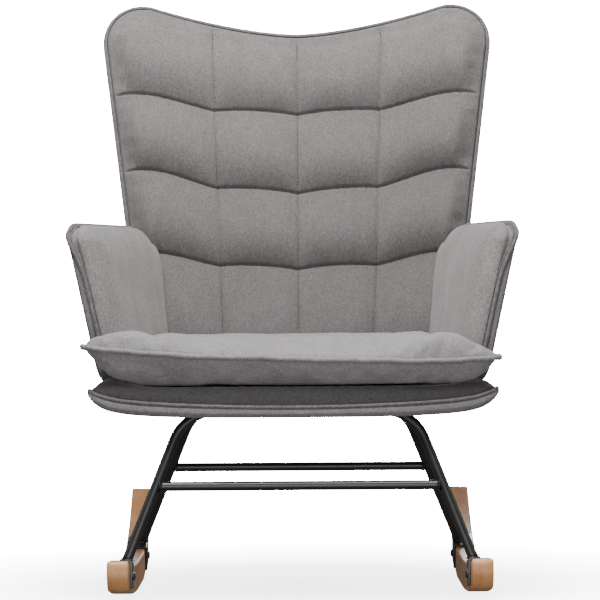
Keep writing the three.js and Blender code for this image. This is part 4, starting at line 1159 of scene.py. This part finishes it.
def build_cushion():
    us, vs = dense_ends(220, 0.6), dense_ends(150, 0.45)
    v, u = np.meshgrid(vs, us, indexing="ij")
    rows, columns = v.shape
    a, b, x, y = cushion_plan(u, v, 0)
    d = rim_distance(u, v, *C_SPAN)
    seam = cushion_seam(x) + cushion_tip(x, y)
    dome = (1 - np.abs(a) ** 8) * (1 - np.abs(b) ** 4)
    pucker = wobble(51, x, y, 15) * 0.5 * ridge(d - 7, 8)
    # the stuffing stands high in the two ears, more so on the right; the tilt is in the seam alone
    left_ear = 9 * smooth(-x, 120, 225) - 4 * smooth(-x, 262, 300) + 5 * ridge(-x - 243, 28)
    ear = np.where(x < 0, left_ear, 13 * ridge(x - 226, 50)) * (1 - smooth(y, 165, 240))
    settle = cushion_tip(x, y) * rise_in(d, 90)
    edge_roll = 26 + 80 * smooth(x, 210, 300)
    crown = 15 * quarter(d, edge_roll) + 5 * rise_in(d, 60) + 5 * dome
    slack = 0.7 * wobble(52, x, y, 110) * quarter(d, 40)
    top_z = seam - settle + crown + ear * rise_in(d, 40) + pucker + slack
    drop = seam - cushion_under(x) - np.maximum(cushion_tip(x, y), 0) * np.abs(x) / 320
    low_z = seam - drop * (0.65 * quarter(d, 34) + 0.35 * rise_in(d, 50))
    tucks = wobble(53, x, 0.35 * d, 13) * ridge(d - 8, 8) * smooth(np.abs(x), 90, 260)
    low_y = y + tucks * np.where(v < 0, 1, 0)
    top = xyz(x, y, top_z).reshape(-1, 3)
    low = xyz(x, low_y, low_z).reshape(-1, 3)
    faces = np.concatenate([grid_faces(rows, columns), grid_faces(rows, columns, rows * columns)[:, ::-1]])
    obj = mesh_object("seat_cushion_cloth", np.concatenate([top, low]), faces)
    modifier = obj.modifiers.new("even", "REMESH")
    modifier.mode, modifier.voxel_size, modifier.adaptivity = "VOXEL", 0.0055, 0
    bake(obj)
    simulate(obj, seam_points())
    even = obj.modifiers.new("even", "SMOOTH")
    even.factor, even.iterations = 0.5, 2
    finer = obj.modifiers.new("finer", "SUBSURF")
    finer.levels = finer.render_levels = 1
    bake(obj)
    shade_smooth(obj.data)
    dress(obj, "velvet", "seat_cushion", body="cushion", finish=M_SEAT)

    share = np.arange(1100) / 1100
    eu, ev = square_edge(share + REAR_START)
    ripple = 0.45 * np.sin(share * 240) + 0.25 * np.sin(share * 530 + 1) + 0.5 * np.sin(share * 95)
    thick = 4.3 + 0.15 * np.sin(share * 2 * pi * 150)
    cords = []
    # the piping, and the fold of cloth just above it
    for outset, high, sway_share, radius, sides in ((2.4, 0, 1, thick, 14), (-2.6, 3.6, 0.7, 1.5, 10)):
        _, _, x, y = cushion_plan(eu, ev, outset)
        z = cushion_seam(x) + cushion_tip(x, y) + high + ripple * sway_share
        line = soften(xyz(x, y, z), 7)
        cords.append(sweep(f"cushion_cord_{outset}", line, radius, sides=sides, closed=True))
    welt = join_into("cushion_welt_cord", cords)
    # the cushion's welt takes the lighter piping velvet, painted light
    dress(welt, "piping", "cushion_welt", body="cushion", finish=M_CORD_PAINTED_LIGHT)


build_cushion()


# --- floor, backdrop, light and camera ---

def stage_mesh(name, points, faces, material):
    data = bpy.data.meshes.new(name)
    data.from_pydata(points, [], faces)
    data.materials.append(material)
    obj = linked(name, data)
    return obj


def glow(name, stops, paint=0.0):
    """A surface whose brightness depends on how far, in metres, it is from the chair."""
    material, tree, shader = nodes_of(name)
    put(shader, Base_Color=(paint, paint, paint, 1), Roughness=0.85, Specular_IOR_Level=0.1,
        Emission_Strength=1)
    source = tree.nodes.new("ShaderNodeTexCoord")
    length = tree.nodes.new("ShaderNodeVectorMath")
    length.operation = "LENGTH"
    tree.links.new(source.outputs["Object"], length.inputs[0])
    farthest = stops[-1][0]
    share = maths(tree, "DIVIDE", length.outputs["Value"], farthest)
    drive(shader, "Emission Color", share, [(at / farthest, value) for at, value in stops])
    return material


def only_seen(obj):
    """The backdrop is bright to look at and throws no light of its own on the chair."""
    obj.visible_diffuse = obj.visible_glossy = obj.visible_transmission = obj.visible_shadow = False


FLOOR_HALF, DOME_RADIUS, DOME_SIDES, DOME_ROWS, WHITE = 9.5, 9.6, 48, 12, 40.0
# the floor glows, dimmer near the chair and white farther out: a painted shadow round the chair
FLOOR_GLOW_PAINTED_SHADOW = [(0, 3.6), (0.35, 4.6), (0.75, 12.0), (1.4, WHITE), (10, WHITE)]


def build_dome():
    angle = np.arange(DOME_SIDES) * 2 * pi / DOME_SIDES
    rows = []
    for level in np.linspace(-0.02, 1, DOME_ROWS + 1):
        ring = DOME_RADIUS * cos(max(level, 0) * pi / 2)
        rows.append(xyz(ring * np.cos(angle), ring * np.sin(angle), DOME_RADIUS * level))
    return stage_mesh("backdrop", np.concatenate(rows).tolist(), ring_faces(len(rows), DOME_SIDES),
                      glow("backdrop_paint", [(0, WHITE), (10, WHITE)]))


floor_corners = [(x * FLOOR_HALF, y * FLOOR_HALF, 0) for x, y in ((-1, -1), (1, -1), (1, 1), (-1, 1))]
only_seen(stage_mesh("floor", floor_corners, [(0, 1, 2, 3)], glow("floor_glow_painted_shadow", FLOOR_GLOW_PAINTED_SHADOW, 0.8)))
only_seen(build_dome())

world = bpy.data.worlds.new("studio")
world.use_nodes = True
put(world.node_tree.nodes["Background"], Color=(1, 1, 1, 1), Strength=0.13)
bpy.context.scene.world = world


def lamp(name, location, target, size, power, height=None):
    data = bpy.data.lights.new(name, "AREA")
    data.shape = "RECTANGLE"
    data.size, data.size_y = size, height or size
    data.energy = power
    obj = linked(name, data)
    obj.location = location
    obj.rotation_mode = "QUATERNION"
    obj.rotation_quaternion = (Vector(target) - Vector(location)).to_track_quat("-Z", "Y")


lamp("overhead", (-0.15, -0.7, 2.1), (0, 0.05, 0.55), 1.1, 66)
lamp("front_soft", (0.2, -3.6, 1.0), (0, 0, 0.4), 1.6, 28)
lamp("floor_bounce", (0, -1.5, 0.06), (0, -0.2, 0.4), 1.6, 5, 0.8)
lamp("left_edge", (-2.4, 0.1, 1.3), (0, 0, 0.6), 0.9, 4)
lamp("right_edge", (2.4, 0.1, 1.3), (0, 0, 0.6), 0.9, 4)
lamp("rear_fill", (0.6, 3.6, 1.9), (0, 0, 0.5), 1.8, 95)

CAMERA_SPOT, CAMERA_ROLL = (0.0025, -4.924, 0.468), radians(-0.4)

camera_data = bpy.data.cameras.new("camera")
camera_data.lens, camera_data.sensor_width = 180, 36
camera_data.clip_start, camera_data.clip_end = 0.1, 60
camera = linked("camera", camera_data)
level_view = Matrix.Translation(CAMERA_SPOT) @ Matrix.Rotation(radians(90), 4, "X")
camera.matrix_world = level_view @ Matrix.Rotation(CAMERA_ROLL, 4, "Z")
bpy.context.scene.camera = camera
